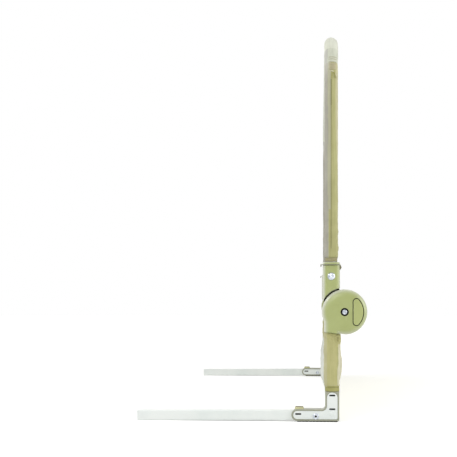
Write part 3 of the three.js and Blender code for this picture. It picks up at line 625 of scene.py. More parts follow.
def powder_coat(name, light, dark, roughness):
    """Powder-coated steel: an even skin with a shallow orange peel that breaks up its gloss."""
    material, tree, shader = new_material(name)
    plug(tree, shader, {
        "IOR": 1.5, "Base Color": mottled(tree, 55, light, dark),
        "Roughness": uneven(tree, 14, roughness - 0.05, roughness + 0.05),
        "Normal": grained(tree, 2.2, 0.05, 1),
    })
    return material


def bright_metal(name, light, dark, roughness, grain):
    """Plated steel: a bright skin with a little haze and faint rubbed streaks."""
    material, tree, shader = new_material(name)
    plug(tree, shader, {
        "Metallic": 1.0, "Base Color": mottled(tree, grain, light, dark),
        "Roughness": uneven(tree, grain / 3, roughness - 0.07, roughness + 0.1, detail=4),
        "Normal": grained(tree, 0.8, 0.02, 4),
    })
    return material


def rubber(name, light, dark):
    """Pressed rubber: matt, nearly black, with dust in its pores. The same shader paints near-black
    shade into hollows.
    """
    material, tree, shader = new_material(name)
    plug(tree, shader, {
        "Base Color": mottled(tree, 5, dark, light, detail=5, high=0.7), "Roughness": 0.85,
        "Normal": grained(tree, 1.1, 0.08, 4),
    })
    return material


def cloth(name, light, dark, thread, thread_shade=None, paler_between=None):
    """Woven polyester: two sets of threads that cross on the cloth's own map, threads a little
    lighter and darker than their neighbours, a darker colour painted as shade in the gaps between
    threads, and a pale bloom where it turns away. Given a paler colour and two heights, the cloth
    pales towards that colour between them."""
    material, tree, shader = new_material(name)
    own_map = add(tree, "ShaderNodeTexCoord").outputs["UV"]
    # The real threads are near 0.35 mm apart and are drawn coarser, so that the weave shows.
    weave = 1.0
    for direction in ("X", "Y"):
        threads = add(
            tree, "ShaderNodeTexWave",
            {"Vector": own_map, "Scale": WAVE_LENGTH / (thread * MM), "Distortion": 0.6,
             "Detail": 1.0, "Detail Scale": 0.6},
            wave_type="BANDS", bands_direction=direction, wave_profile="SIN",
        )
        weave = add(
            tree, "ShaderNodeMath", {0: threads.outputs[1], 1: weave}, operation="MULTIPLY",
        ).outputs[0]
    # Slubs: threads that run thick for a length, so their noise is drawn out along the map.
    drawn_out = add(tree, "ShaderNodeMapping", {"Vector": own_map, "Scale": (1.0, 0.04, 1.0)})
    slubs = {
        "Vector": drawn_out.outputs[0], "Scale": 1 / (thread * 1.5 * MM), "Detail": 2,
        "Roughness": 0.55,
    }
    tone = add(tree, "ShaderNodeMath", {
        0: add(tree, "ShaderNodeTexNoise", slubs).outputs[0],
        1: add(tree, "ShaderNodeTexNoise", patches_of(tree, 26)).outputs[0],
    }, operation="ADD").outputs[0]
    colour = graded(tree, tone, 0.8, 1.2, dark, light)
    # Between two heights the colour pales towards a given paler colour.
    if paler_between:
        paler, low, high = paler_between
        spot = add(tree, "ShaderNodeTexCoord").outputs["Object"]
        height = add(tree, "ShaderNodeSeparateXYZ", {"Vector": spot}).outputs["Z"]
        colour = graded(tree, height, low, high, colour, paler)
    # Gaps between threads take a darker colour, painted as shade.
    shade = graded(tree, weave, 0.0, 0.6, thread_shade or dark, colour)
    woven = add(
        tree, "ShaderNodeMix", {FACTOR: 0.35, FIRST: colour, SECOND: shade}, data_type="RGBA",
    )
    relief = add(tree, "ShaderNodeBump", {"Height": weave, "Distance": 0.16 * MM}).outputs[0]
    plug(tree, shader, {
        "Base Color": woven.outputs[MIXED], "Roughness": 0.9, "Sheen Weight": 0.25,
        "Sheen Roughness": 0.45, "Normal": grained(tree, 7, 0.5, 3, over=relief),
    })
    return material


# Its rounded edges take a painted pale sheen of #cfd1c2.
GREEN = moulded_plastic(
    "moulded_polypropylene_khaki_green", "#aeb774", "#a4ad67", 0.34, edge_sheen="#cfd1c2",
)
# A darker green painted as shade in the collar's groove, on its lip and on its hook.
SHADE_GREEN = moulded_plastic("moulded_polypropylene_painted_shade", "#6f6a45", "#615c3b", 0.5)
BUTTON_GREEN = moulded_plastic("moulded_polypropylene_button", "#b2ba74", "#a8b06a", 0.34)
GREY = moulded_plastic("moulded_polypropylene_grey_green", "#a5a792", "#989a86", 0.5)
WHITE_STEEL = powder_coat("powder_coated_steel_white", "#f3f7f4", "#ebf1ee", 0.38)
WHITE_PLUG = moulded_plastic("moulded_polyethylene_white", "#dde2e2", "#d4dadb", 0.45)
ZINC = bright_metal("zinc_plated_steel", "#d9dee6", "#a5acb5", 0.22, 4)
TUBE_STEEL = bright_metal("bright_drawn_steel_tube", "#c9ccd0", "#b2b6ba", 0.32, 30)
SPRING_STEEL = bright_metal("drawn_spring_steel", "#b9bcc0", "#9a9da2", 0.3, 4)
RUBBER = rubber("pressed_rubber", "#2b2c26", "#171813")
# Near black painted as shade: in the bolt recess, the screw's key, the bracket's slots, the
# button's flange and behind the hinge arm's gap.
PAINTED_SHADE = rubber("painted_shade_in_hollows", "#3c3d33", "#24251e")
# Cloth colours: its light and dark threads, their spacing, and the shade between threads.
PALER_HEIGHTS = (0.489, 0.516)
KHAKI = cloth("woven_polyester_khaki", "#c1bf89", "#b2b07a", 1.1, "#9c9965")
# A paler khaki painted as rim light on the sleeves' edges, and as a highlight on the lower sleeves'
# hem stitching.
KHAKI_RIM_LIGHT = cloth("woven_polyester_khaki_painted_rim_light", "#cfcba2", "#bfbb90", 1.1, "#aba678")
KHAKI_WARM = cloth("woven_polyester_warm_khaki", "#cfcb92", "#c1bd83", 1.1, "#a8a36b")
# A greyed, paler khaki painted as a pale sheen where the sleeve turns towards the bed.
KHAKI_SHEEN = cloth(
    "woven_polyester_khaki_painted_sheen", "#c3c2a4", "#b8b798", 1.1, "#a3a284", ("#d3d1b9", *PALER_HEIGHTS),
)
HEM = cloth("woven_polyester_hem", "#b8b574", "#a9a664", 1.0, "#918e53")
BEDSIDE = cloth(
    "woven_polyester_grey_beige", "#b7b4a6", "#a9a698", 1.1, "#97948a", ("#cfccc0", *PALER_HEIGHTS),
)
# A greyer, darker copy of the pleat cloth, painted as shade on the gathers' bed side.
PLEAT_SHADE = cloth("woven_polyester_grey", "#d0d0c6", "#c6c6bc", 1.1, "#b4b4aa")
PALE_BED = cloth("woven_polyester_pale_grey", "#eff2ea", "#e5e8df", 1.1, "#d3d6cb")
PATCH = cloth("woven_binding_beige", "#c6bf9c", "#b7b08c", 0.9, "#9c9574")
PLEAT = cloth("woven_polyester_grey_green", "#dee1cf", "#d2d5c2", 1.1, "#bdc0ad")
PALE = cloth("woven_polyester_cream", "#e3dfc3", "#d7d3b3", 1.1, "#c6c2a0")
CAP = cloth("woven_polyester_off_white", "#e8ead9", "#dee0cf", 1.1, "#c9ccba")
TAN = cloth("woven_binding_tan", "#b9b18c", "#a69e78", 0.9, "#8e8663")
BINDING = cloth("woven_binding_khaki", "#b5ae86", "#a69f77", 0.9, "#8c8660")
TAPE = cloth("woven_webbing_pale_olive", "#f0efbe", "#e4e2ac", 1.4, "#c9c592")
TAPE_TOP = cloth("woven_webbing_brown", "#8f8656", "#7d7449", 1.4, "#665e3a")
THREAD = cloth("spun_polyester_thread", "#8f8a60", "#7c7750", 0.5)
SEAM = cloth("spun_polyester_thread_dark", "#75724a", "#64613c", 0.5)
NET = cloth("knitted_polyester_net", "#ecebe0", "#dedccd", 0.6)

SLOT_OF = {
    material: slot
    for slot, materials in (
        ("green_plastic", (GREEN, BUTTON_GREEN, SHADE_GREEN)),
        ("grey_plastic", (GREY, PAINTED_SHADE)),
        ("white_paint", (WHITE_STEEL,)),
        ("white_plastic", (WHITE_PLUG,)),
        ("zinc_plate", (ZINC,)),
        ("steel_tube", (TUBE_STEEL, SPRING_STEEL)),
        ("black_rubber", (RUBBER,)),
        ("khaki_fabric", (KHAKI, KHAKI_RIM_LIGHT, KHAKI_SHEEN, KHAKI_WARM, HEM, BEDSIDE, TAN,
                          BINDING, PATCH, THREAD, SEAM)),
        ("pale_fabric", (PLEAT, PLEAT_SHADE, PALE, PALE_BED, CAP, NET)),
        ("webbing", (TAPE, TAPE_TOP)),
    )
    for material in materials
}


# Finished pieces


def placed(name, shape, materials, body, nodes=(), wall=0.0, edge=0.0):
    """A finished piece from a shape in the rail's own frame, smooth but for its real edges."""
    mesh = as_mesh(shape, name)
    for material in materials:
        mesh.materials.append(material)
    mesh.shade_smooth()
    mesh.set_sharp_from_angle(angle=SHARP_ANGLE)
    piece = in_scene(name, mesh)
    if wall:
        thickness = piece.modifiers.new("cloth thickness", "SOLIDIFY")
        thickness.thickness = wall * MM
        thickness.offset = -1
    if edge:
        rounding = piece.modifiers.new("edges", "BEVEL")
        rounding.width = edge * MM
        rounding.segments = 2
        rounding.limit_method = "ANGLE"
        rounding.angle_limit = SHARP_ANGLE
        rounding.harden_normals = False
    if body:
        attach(piece, body)
    if nodes:
        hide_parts(*nodes)
    return piece


def facing(shape, material_of):
    """Gives each face the index of its material, from its middle."""
    for face in shape.faces:
        face.material_index = material_of(face.calc_center_median())
    return shape


def at_both_ends(name, shape, materials, node=None, body=None, wall=0.0, edge=0.0):
    """A piece and its mirrored twin. With no body named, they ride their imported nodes' one."""
    made = []
    for side in ENDS:
        copy = shape.copy()
        bmesh.ops.transform(copy, matrix=to_row(side), verts=copy.verts)
        if side == "far":
            bmesh.ops.reverse_faces(copy, faces=copy.faces)
        nodes = [f"{node}_{side}"] if node else []
        rides = body or frame["nodes"][nodes[0]]["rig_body"]
        made.append(placed(f"{name}_{side}", copy, materials, rides, nodes, wall, edge))
    shape.free()
    return made


# Hinge


def tail_edge(x):
    return TAIL_MIDDLE[1] - TAIL_SLOPE * (x - TAIL_MIDDLE[0])


def shell_outline():
    """The hinge's disc and its tail in one outline, the tail longer than it ends up."""
    x, z = PIVOT
    places = []
    for side in (TAIL_OUTER, TAIL_INNER):
        drop = math.sqrt(HINGE_RADIUS**2 - (side - x) ** 2)
        places.append((math.degrees(math.atan2(-drop, side - x)), (side, z - drop)))
    turn = (places[1][0] - places[0][0]) % 360
    return trace(places[0][1], [
        (PIVOT, turn), ((TAIL_INNER, TAIL_LOW),), ((TAIL_OUTER, TAIL_LOW),), (places[0][1],),
    ])


def tail_trimmed(shape, gap=0.0):
    point = (TAIL_MIDDLE[0], 0, TAIL_MIDDLE[1] - gap)
    return trimmed(shape, point, (-TAIL_SLOPE, 0, -1))


def wedge(start, end):
    """The sector where the two shells are joined behind the tongue."""
    reach = 2 * HINGE_RADIUS
    corners = [
        (PIVOT[0] + reach * math.cos(math.radians(a)), PIVOT[1] + reach * math.sin(math.radians(a)))
        for a in WEB_ANGLES
    ]
    return thick(trace(PIVOT, [(corner,) for corner in corners] + [(PIVOT,)]), start, end)


def button_outline(grow):
    """A D: a flat side towards the pivot and an arc about it, its corners round."""
    out = BUTTON_FLAT + BUTTON_CORNER
    up = math.sqrt((BUTTON_ARC - BUTTON_CORNER) ** 2 - out**2)
    turn = math.degrees(math.atan2(up, out))
    x, z = PIVOT
    low, high = (x + out, z - up), (x + out, z + up)
    flat = x + BUTTON_FLAT - grow
    return trace((flat, high[1]), [
        ((flat, low[1]),), (low, 180 - turn), (PIVOT, 2 * turn), (high, 180 - turn),
    ])


def post_bore():
    return pin(TUBE_BORE, SOCKET_BOTTOM - CUT, LOWER_POST_TOP + FIT, (LOWER_POST_X, 0))


def domed(start, face):
    """The hinge's outline as a plate whose outer edge falls away in a long soft curve."""
    squeeze = COVER_DROP / COVER_EDGE
    plate = thick(shell_outline(), start / squeeze, face / squeeze)
    round_edges(plate, COVER_EDGE, on_y(face / squeeze), DOME_STEPS, limited=False)
    bmesh.ops.scale(plate, verts=plate.verts, vec=(1, squeeze, 1))
    return plate


def make_cover():
    shell = tail_trimmed(domed(-SHELL_START, -COVER_FACE))
    ceiling = SHELL_WALL - COVER_FACE
    hollow = cut_by(
        rod(CAVITY_RADIUS, ceiling, CUT - SHELL_START, PIVOT, ROUND_STEPS),
        wedge(-COVER_FACE, 0), rod(BOSS_RADIUS, -COVER_FACE, 0, PIVOT),
    )
    slot = thick(button_outline(0), -COVER_FACE - CUT, ceiling + CUT)
    recess = headed(RECESS, -COVER_FACE, 1, PIVOT, RECESS_STEPS)
    hole = rod(BOLT_HOLE, -COVER_FACE, 0, PIVOT)
    shell = cut_by(shell, hollow, slot, recess, hole, post_bore())

    def in_recess(middle):
        out = math.hypot(middle.x - PIVOT[0], middle.z - PIVOT[1])
        return out < RECESS_RADIUS + 0.3 and 0.3 < middle.y + COVER_FACE < RECESS_DEPTH + NEAR

    # The recess round the bolt head is painted near black as shade.
    facing(shell, lambda middle: int(in_recess(middle)))
    at_both_ends("hinge_cover_shell", shell, [GREEN, PAINTED_SHADE], "hinge_cover")


def make_housing():
    shell = round_edges(
        thick(shell_outline(), SHELL_START, HOUSING_FACE), HINGE_EDGE, on_y(HOUSING_FACE),
        HOUSING_STEPS,
    )
    seam = FIT - SHELL_START
    web = combined(
        rod(HINGE_RADIUS, seam, SHELL_START + CUT, PIVOT, ROUND_STEPS),
        wedge(seam - CUT, SHELL_START + 2 * CUT), "INTERSECT",
    )
    middle = block((TAIL_INNER, seam, TAIL_LOW), (TAIL_OUTER, SHELL_START + CUT, PIVOT[1]))
    tongue_room = rod(TONGUE_ROOM, seam - CUT, SHELL_START, PIVOT, ROUND_STEPS)
    body = cut_by(tail_trimmed(joined(shell, web, middle)), tongue_room)
    socket = column(
        (LOWER_POST_X, 0), SOCKET_WIDTH, SOCKET_DEPTH, SOCKET_CORNER, SOCKET_BOTTOM, LOWER_POST_TOP,
    )
    cover_room = trimmed(
        block(
            (-COVER_ROOM_HALF, -SOCKET_DEPTH, COVER_ROOM_FOOT), (COVER_ROOM_HALF, seam, PIVOT[1]),
        ),
        (TAIL_MIDDLE[0], 0, TAIL_MIDDLE[1] - FIT), (-TAIL_SLOPE, 0, -1),
    )
    socket = cut_by(socket, cover_room)
    body = joined(body, socket)
    pocket = rod(NUT_RADIUS + FIT, HOUSING_FACE - NUT_POCKET, HOUSING_FACE + CUT, PIVOT, 6)
    hole = rod(BOLT_HOLE, 0, HOUSING_FACE, PIVOT)
    rivet = rod(LOWER_RIVET_ROOM, -SOCKET_DEPTH, SOCKET_DEPTH, (LOWER_POST_X, LOWER_RIVET_HEIGHT))
    at_both_ends(
        "hinge_housing_shell", cut_by(body, pocket, hole, post_bore(), rivet), [GREEN],
        "hinge_housing",
    )


def make_button():
    face = -COVER_FACE - BUTTON_PROUD
    back = SHELL_WALL - COVER_FACE + FIT
    cap = combined(
        thick(button_outline(-BUTTON_GAP), back, face - CUT), domed(0, face), "INTERSECT",
    )
    flange = thick(button_outline(FLANGE_REACH), back, back + FLANGE_THICKNESS)
    spring_low, spring_high = node_box_mm("button_spring_near")
    peg_place = ((spring_low.x + spring_high.x) / 2, (spring_low.z + spring_high.z) / 2)
    spring_room = rod((spring_high.x - spring_low.x) / 2 + POCKET_GAP, POCKET_END, 0, peg_place)
    cap = cut_by(cap, spring_room.copy())
    # The flange, seen through the gap round the button, is painted near black as shade.
    flange = facing(cut_by(flange, spring_room), lambda middle: 1)
    peg = rod(PEG_RADIUS, POCKET_END - JOIN_THIN, back + PEG_REACH, peg_place)
    at_both_ends(
        "release_button_cap", together(cap, flange, peg), [BUTTON_GREEN, PAINTED_SHADE],
        "release_button", edge=BUTTON_EDGE,
    )


def make_bolt():
    seat = RECESS_DEPTH - COVER_FACE
    top = seat - BOLT_HEAD_HEIGHT
    head = headed(BOLT_HEAD, seat, -1, PIVOT)
    key = rod(KEY_RADIUS, top - CUT, top + KEY_DEPTH, PIVOT, 6)
    shank = rod(BOLT_RADIUS, seat - JOIN, HOUSING_FACE - FIT, PIVOT)
    at_both_ends("pivot_bolt_head", joined(cut_by(head, key), shank), [ZINC], "pivot_bolt")
    base = HOUSING_FACE - NUT_POCKET + NUT_LIFT
    blank = rod(NUT_RADIUS, base, base + NUT_HEIGHT, PIVOT, 6)
    nut = combined(blank, headed(NUT_CORNERS, base, 1, PIVOT), "INTERSECT")
    nut = cut_by(nut, rod(NUT_THREAD, 0, HOUSING_FACE + CUT, PIVOT))
    at_both_ends("pivot_nut_hexagon", nut, [ZINC], "pivot_nut")


def make_arm():
    socket = column((0, 0), ARM_WIDTH, ARM_DEPTH, ARM_CORNER, PIVOT[1], ARM_TOP)
    round_edges(socket, ARM_TOP_ROUND, on_z(ARM_TOP))
    half = ARM_DEPTH / 2
    turns = [math.radians(90 * i / 6) for i in range(7)]
    mouth = [
        (ARM_ARC + ARM_ARC_ROUND * (1 - math.cos(a)), ARM_ARC_ROUND * (math.sin(a) - 1) + half)
        for a in turns
    ]
    profile = [(0, -half - CUT), (mouth[-1][0], -half - CUT)]
    profile += [(radius, -along) for radius, along in reversed(mouth)]
    profile += mouth + [(mouth[-1][0], half + CUT), (0, half + CUT)]
    socket = cut_by(socket, turned(profile, PIVOT, ARM_ARC_STEPS))
    x, z = PIVOT
    side = ARM_WIDTH / 2 - NECK_INSET

    def on_tongue(angle):
        turn = math.radians(angle)
        return (x + TONGUE_RADIUS * math.cos(turn), z + TONGUE_RADIUS * math.sin(turn))

    low_left = z - (x + side) * math.tan(NECK_LINE)
    neck = thick(trace(PIVOT, [
        (on_tongue(NECK_ANGLES[0]),), ((side, z + ARM_ARC),), ((side, ARM_BORE_BOTTOM),),
        ((-side, ARM_BORE_BOTTOM),), ((-side, low_left),), (on_tongue(NECK_ANGLES[1]),),
        (PIVOT,),
    ]), -TONGUE_HALF, TONGUE_HALF)
    tongue = rod(TONGUE_RADIUS, -TONGUE_HALF, TONGUE_HALF, PIVOT, ROUND_STEPS)
    low = COLLAR_TOP - COLLAR_THICKNESS
    flange = COLLAR_TOP - COLLAR_LIP
    collar = column(
        ((COLLAR_OUTER_REACH - COLLAR_REACH) / 2, 0), ARM_WIDTH + COLLAR_OUTER_REACH + COLLAR_REACH,
        ARM_DEPTH + 2 * COLLAR_REACH, ARM_CORNER + COLLAR_REACH, flange, COLLAR_TOP,
    )
    round_edges(collar, COLLAR_ROUND, on_z(flange, COLLAR_TOP), SLIGHT_STEPS)
    left = -ARM_WIDTH / 2 - COLLAR_REACH
    hook = block(
        (left, -LIP_LENGTH / 2, low - HOOK_DROP),
        (left + HOOK_THICKNESS, LIP_LENGTH / 2, flange + JOIN),
    )
    round_edges(hook, HOOK_ROUND, lambda edge: True, SLIGHT_STEPS)
    inset = COLLAR_GROOVE
    groove = cut_by(
        column((0, 0), ARM_WIDTH + 2, ARM_DEPTH + 2, ARM_CORNER, low, flange),
        column((0, 0), ARM_WIDTH - 2 * inset, ARM_DEPTH - 2 * inset, ARM_CORNER - inset,
               low - CUT, flange + CUT),
    )
    socket = cut_by(socket, groove)
    wall = ARM_WIDTH / 2 - 1
    lip = thick(trace((wall, LIP_PROFILE[0][1]), [
        *((corner,) for corner in LIP_PROFILE), ((wall, LIP_PROFILE[-1][1]),),
        ((wall, LIP_PROFILE[0][1]),),
    ]), -LIP_LENGTH / 2, LIP_LENGTH / 2)
    round_edges(
        lip, LIP_ROUND, lambda edge: max(vert.co.x for vert in edge.verts) > wall + JOIN,
        SLIGHT_STEPS,
    )
    arm = joined(socket, neck, tongue, collar, lip, hook)
    bore = pin(TUBE_BORE, ARM_BORE_BOTTOM, ARM_TOP + CUT, (0, 0))
    hole = rod(BOLT_HOLE, -ARM_DEPTH, ARM_DEPTH, PIVOT)
    arm = cut_by(arm, bore, hole)

    def plastic_of(middle):
        across, along = ARM_WIDTH / 2, LIP_LENGTH / 2
        # Faces of the tongue and neck behind the arm's gap are painted near black as shade.
        if abs(middle.y) < TONGUE_HALF + NEAR and middle.z < PIVOT[1] + ARM_ARC + 1:
            return 1
        inside = abs(middle.y) < ARM_DEPTH / 2 - 0.7 and abs(middle.x) < across - 0.7
        # The groove under the collar, the lip and the hook are painted a darker green as shade.
        in_groove = inside and low - NEAR < middle.z < flange + NEAR
        beside = middle.x > across - 0.4 and along - 0.9 < abs(middle.y) < along + NEAR
        below = middle.z < flange - NEAR
        on_lip = (middle.x > across + NEAR or beside) and LIP_PROFILE[0][1] - NEAR < middle.z
        on_lip = on_lip and below
        on_hook = middle.x < -across - 0.5 and below
        return 2 if in_groove or on_lip or on_hook else 0

    facing(arm, plastic_of)
    at_both_ends("hinge_arm_socket", arm, [GREEN, PAINTED_SHADE, SHADE_GREEN], "hinge_arm")


def make_arm_rivet():
    face = -ARM_DEPTH / 2
    place = (0, RIVET_HEIGHT)
    head = domed_head(RIVET_RADIUS, RIVET_DOME, face, 9, place)
    dimple = headed(RIVET_DIMPLE, face - RIVET_DOME, 1, place, DIMPLE_STEPS)
    shank = rod(RIVET_SHANK, face - JOIN, -face, place)
    tail = headed(RIVET_TAIL, -face, 1, place)
    rivet = joined(cut_by(head, dimple), shank, tail)
    at_both_ends("arm_rivet_dome", rivet, [ZINC], "arm_rivet")


# Corner bracket and foot bar


def bracket_outline(inset, top, round_top):
    """The L of the bracket from its end, drawn in from its edge by an inset."""
    inside = LOWER_POST_X - BRACKET_WIDTH / 2 + inset
    left, right = -BRACKET_REACH + inset, LOWER_POST_X + BRACKET_WIDTH / 2 - inset
    low, arm_top = SOLE_TOP + inset, BRACKET_ARM_TOP - inset
    end = min(END_RADIUS, (arm_top - low) / 2)
    inner = INNER_RADIUS + inset
    heel = HEEL_RADIUS
    steps = [((right - heel, low),), ((right - heel, low + heel), 90)]
    if round_top:
        radius = (right - inside) / 2
        steps += [((right, top - radius),), ((inside + radius, top - radius), 180)]
    else:
        steps += [((right, top),), ((inside, top),)]
    steps += [
        ((inside, arm_top + inner),), ((inside - inner, arm_top + inner), -90),
        ((left + end, arm_top),), ((left + end, arm_top - end), 90),
    ]
    if arm_top - end > low + end + 0.01:
        steps.append(((left, low + end),))
    steps.append(((left + end, low + end), 90))
    return trace((left + end, low), steps)


def slot_cutter(place, start, end):
    return thick(rounded_rectangle(place, SLOT_LENGTH, SLOT_HEIGHT, SLOT_CORNER), start, end)


def beside_socket(end, gap=0.0):
    """All of the bracket's inner side that lies beside its socket."""
    return block((-100, 0, -20), (INNER_PLATE_END - gap, end, 60))


def make_bracket():
    body = thick(bracket_outline(0, BRACKET_SHOULDER, False), -BRACKET_HALF, BRACKET_HALF)
    round_edges(body, BRACKET_ROUND, on_y(-BRACKET_HALF, BRACKET_HALF), SLIGHT_STEPS)
    neck = column(
        (LOWER_POST_X, 0), BRACKET_WIDTH - 2 * NECK_STEP, 2 * (BRACKET_HALF - NECK_STEP),
        SOCKET_CORNER + FIT, BRACKET_ARM_TOP, BRACKET_TOP,
    )
    cross_place = (LOWER_POST_X, CROSS_TUBE_HEIGHT)
    boss = rod(CROSS_SOCKET_RADIUS, BRACKET_HALF - 1, CROSS_SOCKET_END, cross_place, ROUND_STEPS)
    round_edges(boss, CROSS_SOCKET_ROUND, on_y(CROSS_SOCKET_END), SLIGHT_STEPS)
    rim = PLATE_RIM - FIT
    recess = thick(bracket_outline(rim, PLATE_TOP + FIT, True), -BRACKET_HALF - CUT, -PLATE_FLOOR)
    inner_recess = combined(
        thick(bracket_outline(rim, INNER_PLATE_TOP, False), PLATE_FLOOR, BRACKET_HALF + CUT),
        beside_socket(BRACKET_HALF + 2 * CUT), "INTERSECT",
    )
    channel = block(
        (-BRACKET_REACH - CUT, -CHANNEL_HALF, 0), (CHANNEL_END, CHANNEL_HALF, CHANNEL_TOP),
    )
    pockets = [slot_cutter(at, -PLATE_FLOOR - CUT, -POCKET_FLOOR) for at in SLOT_PLACES]
    inner_pocket = slot_cutter(SLOT_PLACES[2], POCKET_FLOOR, PLATE_FLOOR + CUT)
    bore = pin(TUBE_BORE, POST_SEAT, BRACKET_TOP + CUT, (LOWER_POST_X, 0))
    cross = rod(TUBE_BORE, BRACKET_HALF + CUT, CROSS_SOCKET_END + CUT, cross_place)
    bracket = cut_by(
        joined(body, neck, boss), recess, inner_recess, channel, *pockets, inner_pocket, bore,
        cross,
    )

    def in_slot(middle):
        deep = POCKET_FLOOR - NEAR < abs(middle.y) < PLATE_FLOOR - SAME_PLACE
        wide, high = SLOT_LENGTH / 2 + NEAR, SLOT_HEIGHT / 2 + NEAR
        return deep and any(
            abs(middle.x - x) < wide and abs(middle.z - z) < high for x, z in SLOT_PLACES
        )

    # The slots' pocket floors are painted near black as shade.
    facing(bracket, lambda middle: int(in_slot(middle)))
    at_both_ends("bracket_body", bracket, [GREY, PAINTED_SHADE], "corner_bracket")


def make_plates():
    plate = thick(bracket_outline(PLATE_RIM, PLATE_TOP, True), -PLATE_FLOOR, -PLATE_FACE)
    round_edges(plate, PLATE_ROUND, on_y(-PLATE_FACE), SLIGHT_STEPS)
    cutters = [slot_cutter(at, -PLATE_FACE - CUT, CUT - PLATE_FLOOR) for at in SLOT_PLACES]
    at_both_ends("bracket_plate_outer", cut_by(plate, *cutters), [WHITE_STEEL], "bracket_plate")
    inner = thick(bracket_outline(PLATE_RIM, INNER_PLATE_TOP, False), PLATE_FLOOR, PLATE_FACE)
    round_edges(inner, PLATE_ROUND, on_y(PLATE_FACE), SLIGHT_STEPS)
    inner = combined(inner, beside_socket(20, FIT), "INTERSECT")
    inner = cut_by(inner, slot_cutter(SLOT_PLACES[2], PLATE_FLOOR - CUT, PLATE_FACE + CUT))
    at_both_ends("bracket_plate_inner", inner, [WHITE_STEEL], "bracket_inner_plate")


def make_bracket_fasteners():
    face = -PLATE_FACE
    head = headed(SCREW_HEAD, face, -1, SCREW_PLACE)
    recess = headed(SCREW_RECESS, face, -1, SCREW_PLACE, 6)
    shank = rod(SCREW_SHANK, face - JOIN_THIN, PLATE_FACE + JOIN, SCREW_PLACE)
    tail = headed(SCREW_TAIL, PLATE_FACE, 1, SCREW_PLACE, SMALL_STEPS)
    screw = joined(cut_by(head, recess), shank, tail)

    def in_recess(middle):
        out = math.hypot(middle.x - SCREW_PLACE[0], middle.z - SCREW_PLACE[1])
        return out < 1.8 and face - 1.1 < middle.y < face - 0.12

    # The screw head's key recess is painted near black as shade.
    facing(screw, lambda middle: int(in_recess(middle)))
    at_both_ends("bracket_screw_head", screw, [ZINC, PAINTED_SHADE], "bracket_screw")
    rivet = domed_head(CORNER_RIVET_RADIUS, CORNER_RIVET_DOME, face, 8, CORNER_RIVET_PLACE)
    shank = rod(SCREW_SHANK, face - CORNER_RIVET_JOIN, -CHANNEL_HALF, CORNER_RIVET_PLACE)
    at_both_ends("bracket_rivet_dome", joined(rivet, shank), [WHITE_STEEL], "bracket_rivet")


def make_sole():
    left, right = -BRACKET_REACH + END_RADIUS, LOWER_POST_X + BRACKET_WIDTH / 2 - HEEL_RADIUS
    half = BRACKET_HALF - SOLE_INSET
    sole = column(((left + right) / 2, 0), right - left, 2 * half, SOLE_TOP, 0, SOLE_TOP)
    grooves = [
        block((x, -half - CUT, -CUT), (x + SOLE_GROOVE_WIDTH, half + CUT, SOLE_GROOVE_DEPTH))
        for x in range(int(left) + 6, int(right) - 4, SOLE_GROOVE_PITCH)
    ]
    at_both_ends("bracket_sole_pad", cut_by(sole, *grooves), [RUBBER], "bracket_sole")


def along_bar(shape):
    """A plate in the bar's own frame, its tip's lower edge at the origin, put in place."""
    tip = BAR_TIP + BAR_HEIGHT * math.sin(BAR_SLOPE)
    return moved(rolled(shape, -BAR_SLOPE, "Y"), tip)


def bar_section(inset, start, end):
    """The bar's rectangular section, inset on every side, along the bar's length."""
    corner = max(BAR_CORNER - inset, BAR_CORNER_LEAST)
    shape = thick(
        rounded_rectangle((0, 0), 2 * (BAR_HALF - inset), BAR_HEIGHT - 2 * inset, corner),
        start, end,
    )
    return moved(rolled(shape, -QUARTER, "Z"), z=BAR_HEIGHT / 2)


def make_bar():
    bar = cut_by(bar_section(0, 0, BAR_LENGTH), bar_section(BAR_WALL, -CUT, BAR_LENGTH + CUT))
    at_both_ends("foot_bar_tube", along_bar(bar), [WHITE_STEEL], "foot_bar")
    plug = bar_section(BAR_WALL + PLUG_GAP, PLUG_RECESS, PLUG_RECESS + PLUG_LENGTH)
    at_both_ends("foot_bar_end_plug", along_bar(plug), [WHITE_PLUG], "foot_bar_plug")


for make in (
    make_cover, make_housing, make_button, make_bolt, make_arm, make_arm_rivet, make_bracket,
    make_plates, make_bracket_fasteners, make_sole, make_bar,
):
    make()

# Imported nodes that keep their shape: tubes and what hides inside the hinges.
KEPT = [("top_tube", TUBE_STEEL), ("cross_tube", TUBE_STEEL)] + [
    (f"{name}_{side}", material)
    for name, material in (
        ("side_tube", TUBE_STEEL), ("lower_post", TUBE_STEEL), ("lower_post_rivet", ZINC),
        ("lock_plate", SPRING_STEEL), ("button_spring", SPRING_STEEL),
    )
    for side in ENDS
]
for node_name, material in KEPT:
    packed = frame["nodes"][node_name]
    packed.data.materials.clear()
    packed.data.materials.append(material)


# Soft goods

SLEEVE_RADIUS = 9.8
BEND_RADIUS = 45
SLEEVE_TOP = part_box("upper_sleeve")[1].z / MM
TUBE_TOP = SLEEVE_TOP - SLEEVE_RADIUS
BEND_START = TUBE_TOP - BEND_RADIUS
SLEEVE_FOOT = 236.6
HEM_BAND_FOOT = 231
HEM_BAND_HEIGHT = 10.6
HEM_BAND_RADIUS = 8.75
POST_LENGTH = BEND_START - SLEEVE_FOOT
BEND_LENGTH = BEND_RADIUS * QUARTER
TOP_LENGTH = 2 * (HALF_SPACING - BEND_RADIUS)
SLEEVE_LENGTH = 2 * (POST_LENGTH + BEND_LENGTH) + TOP_LENGTH
SEAM_TURNS = (math.radians(9.3), math.radians(13.9), math.radians(17.3))
CAP_TURN = math.radians(36)
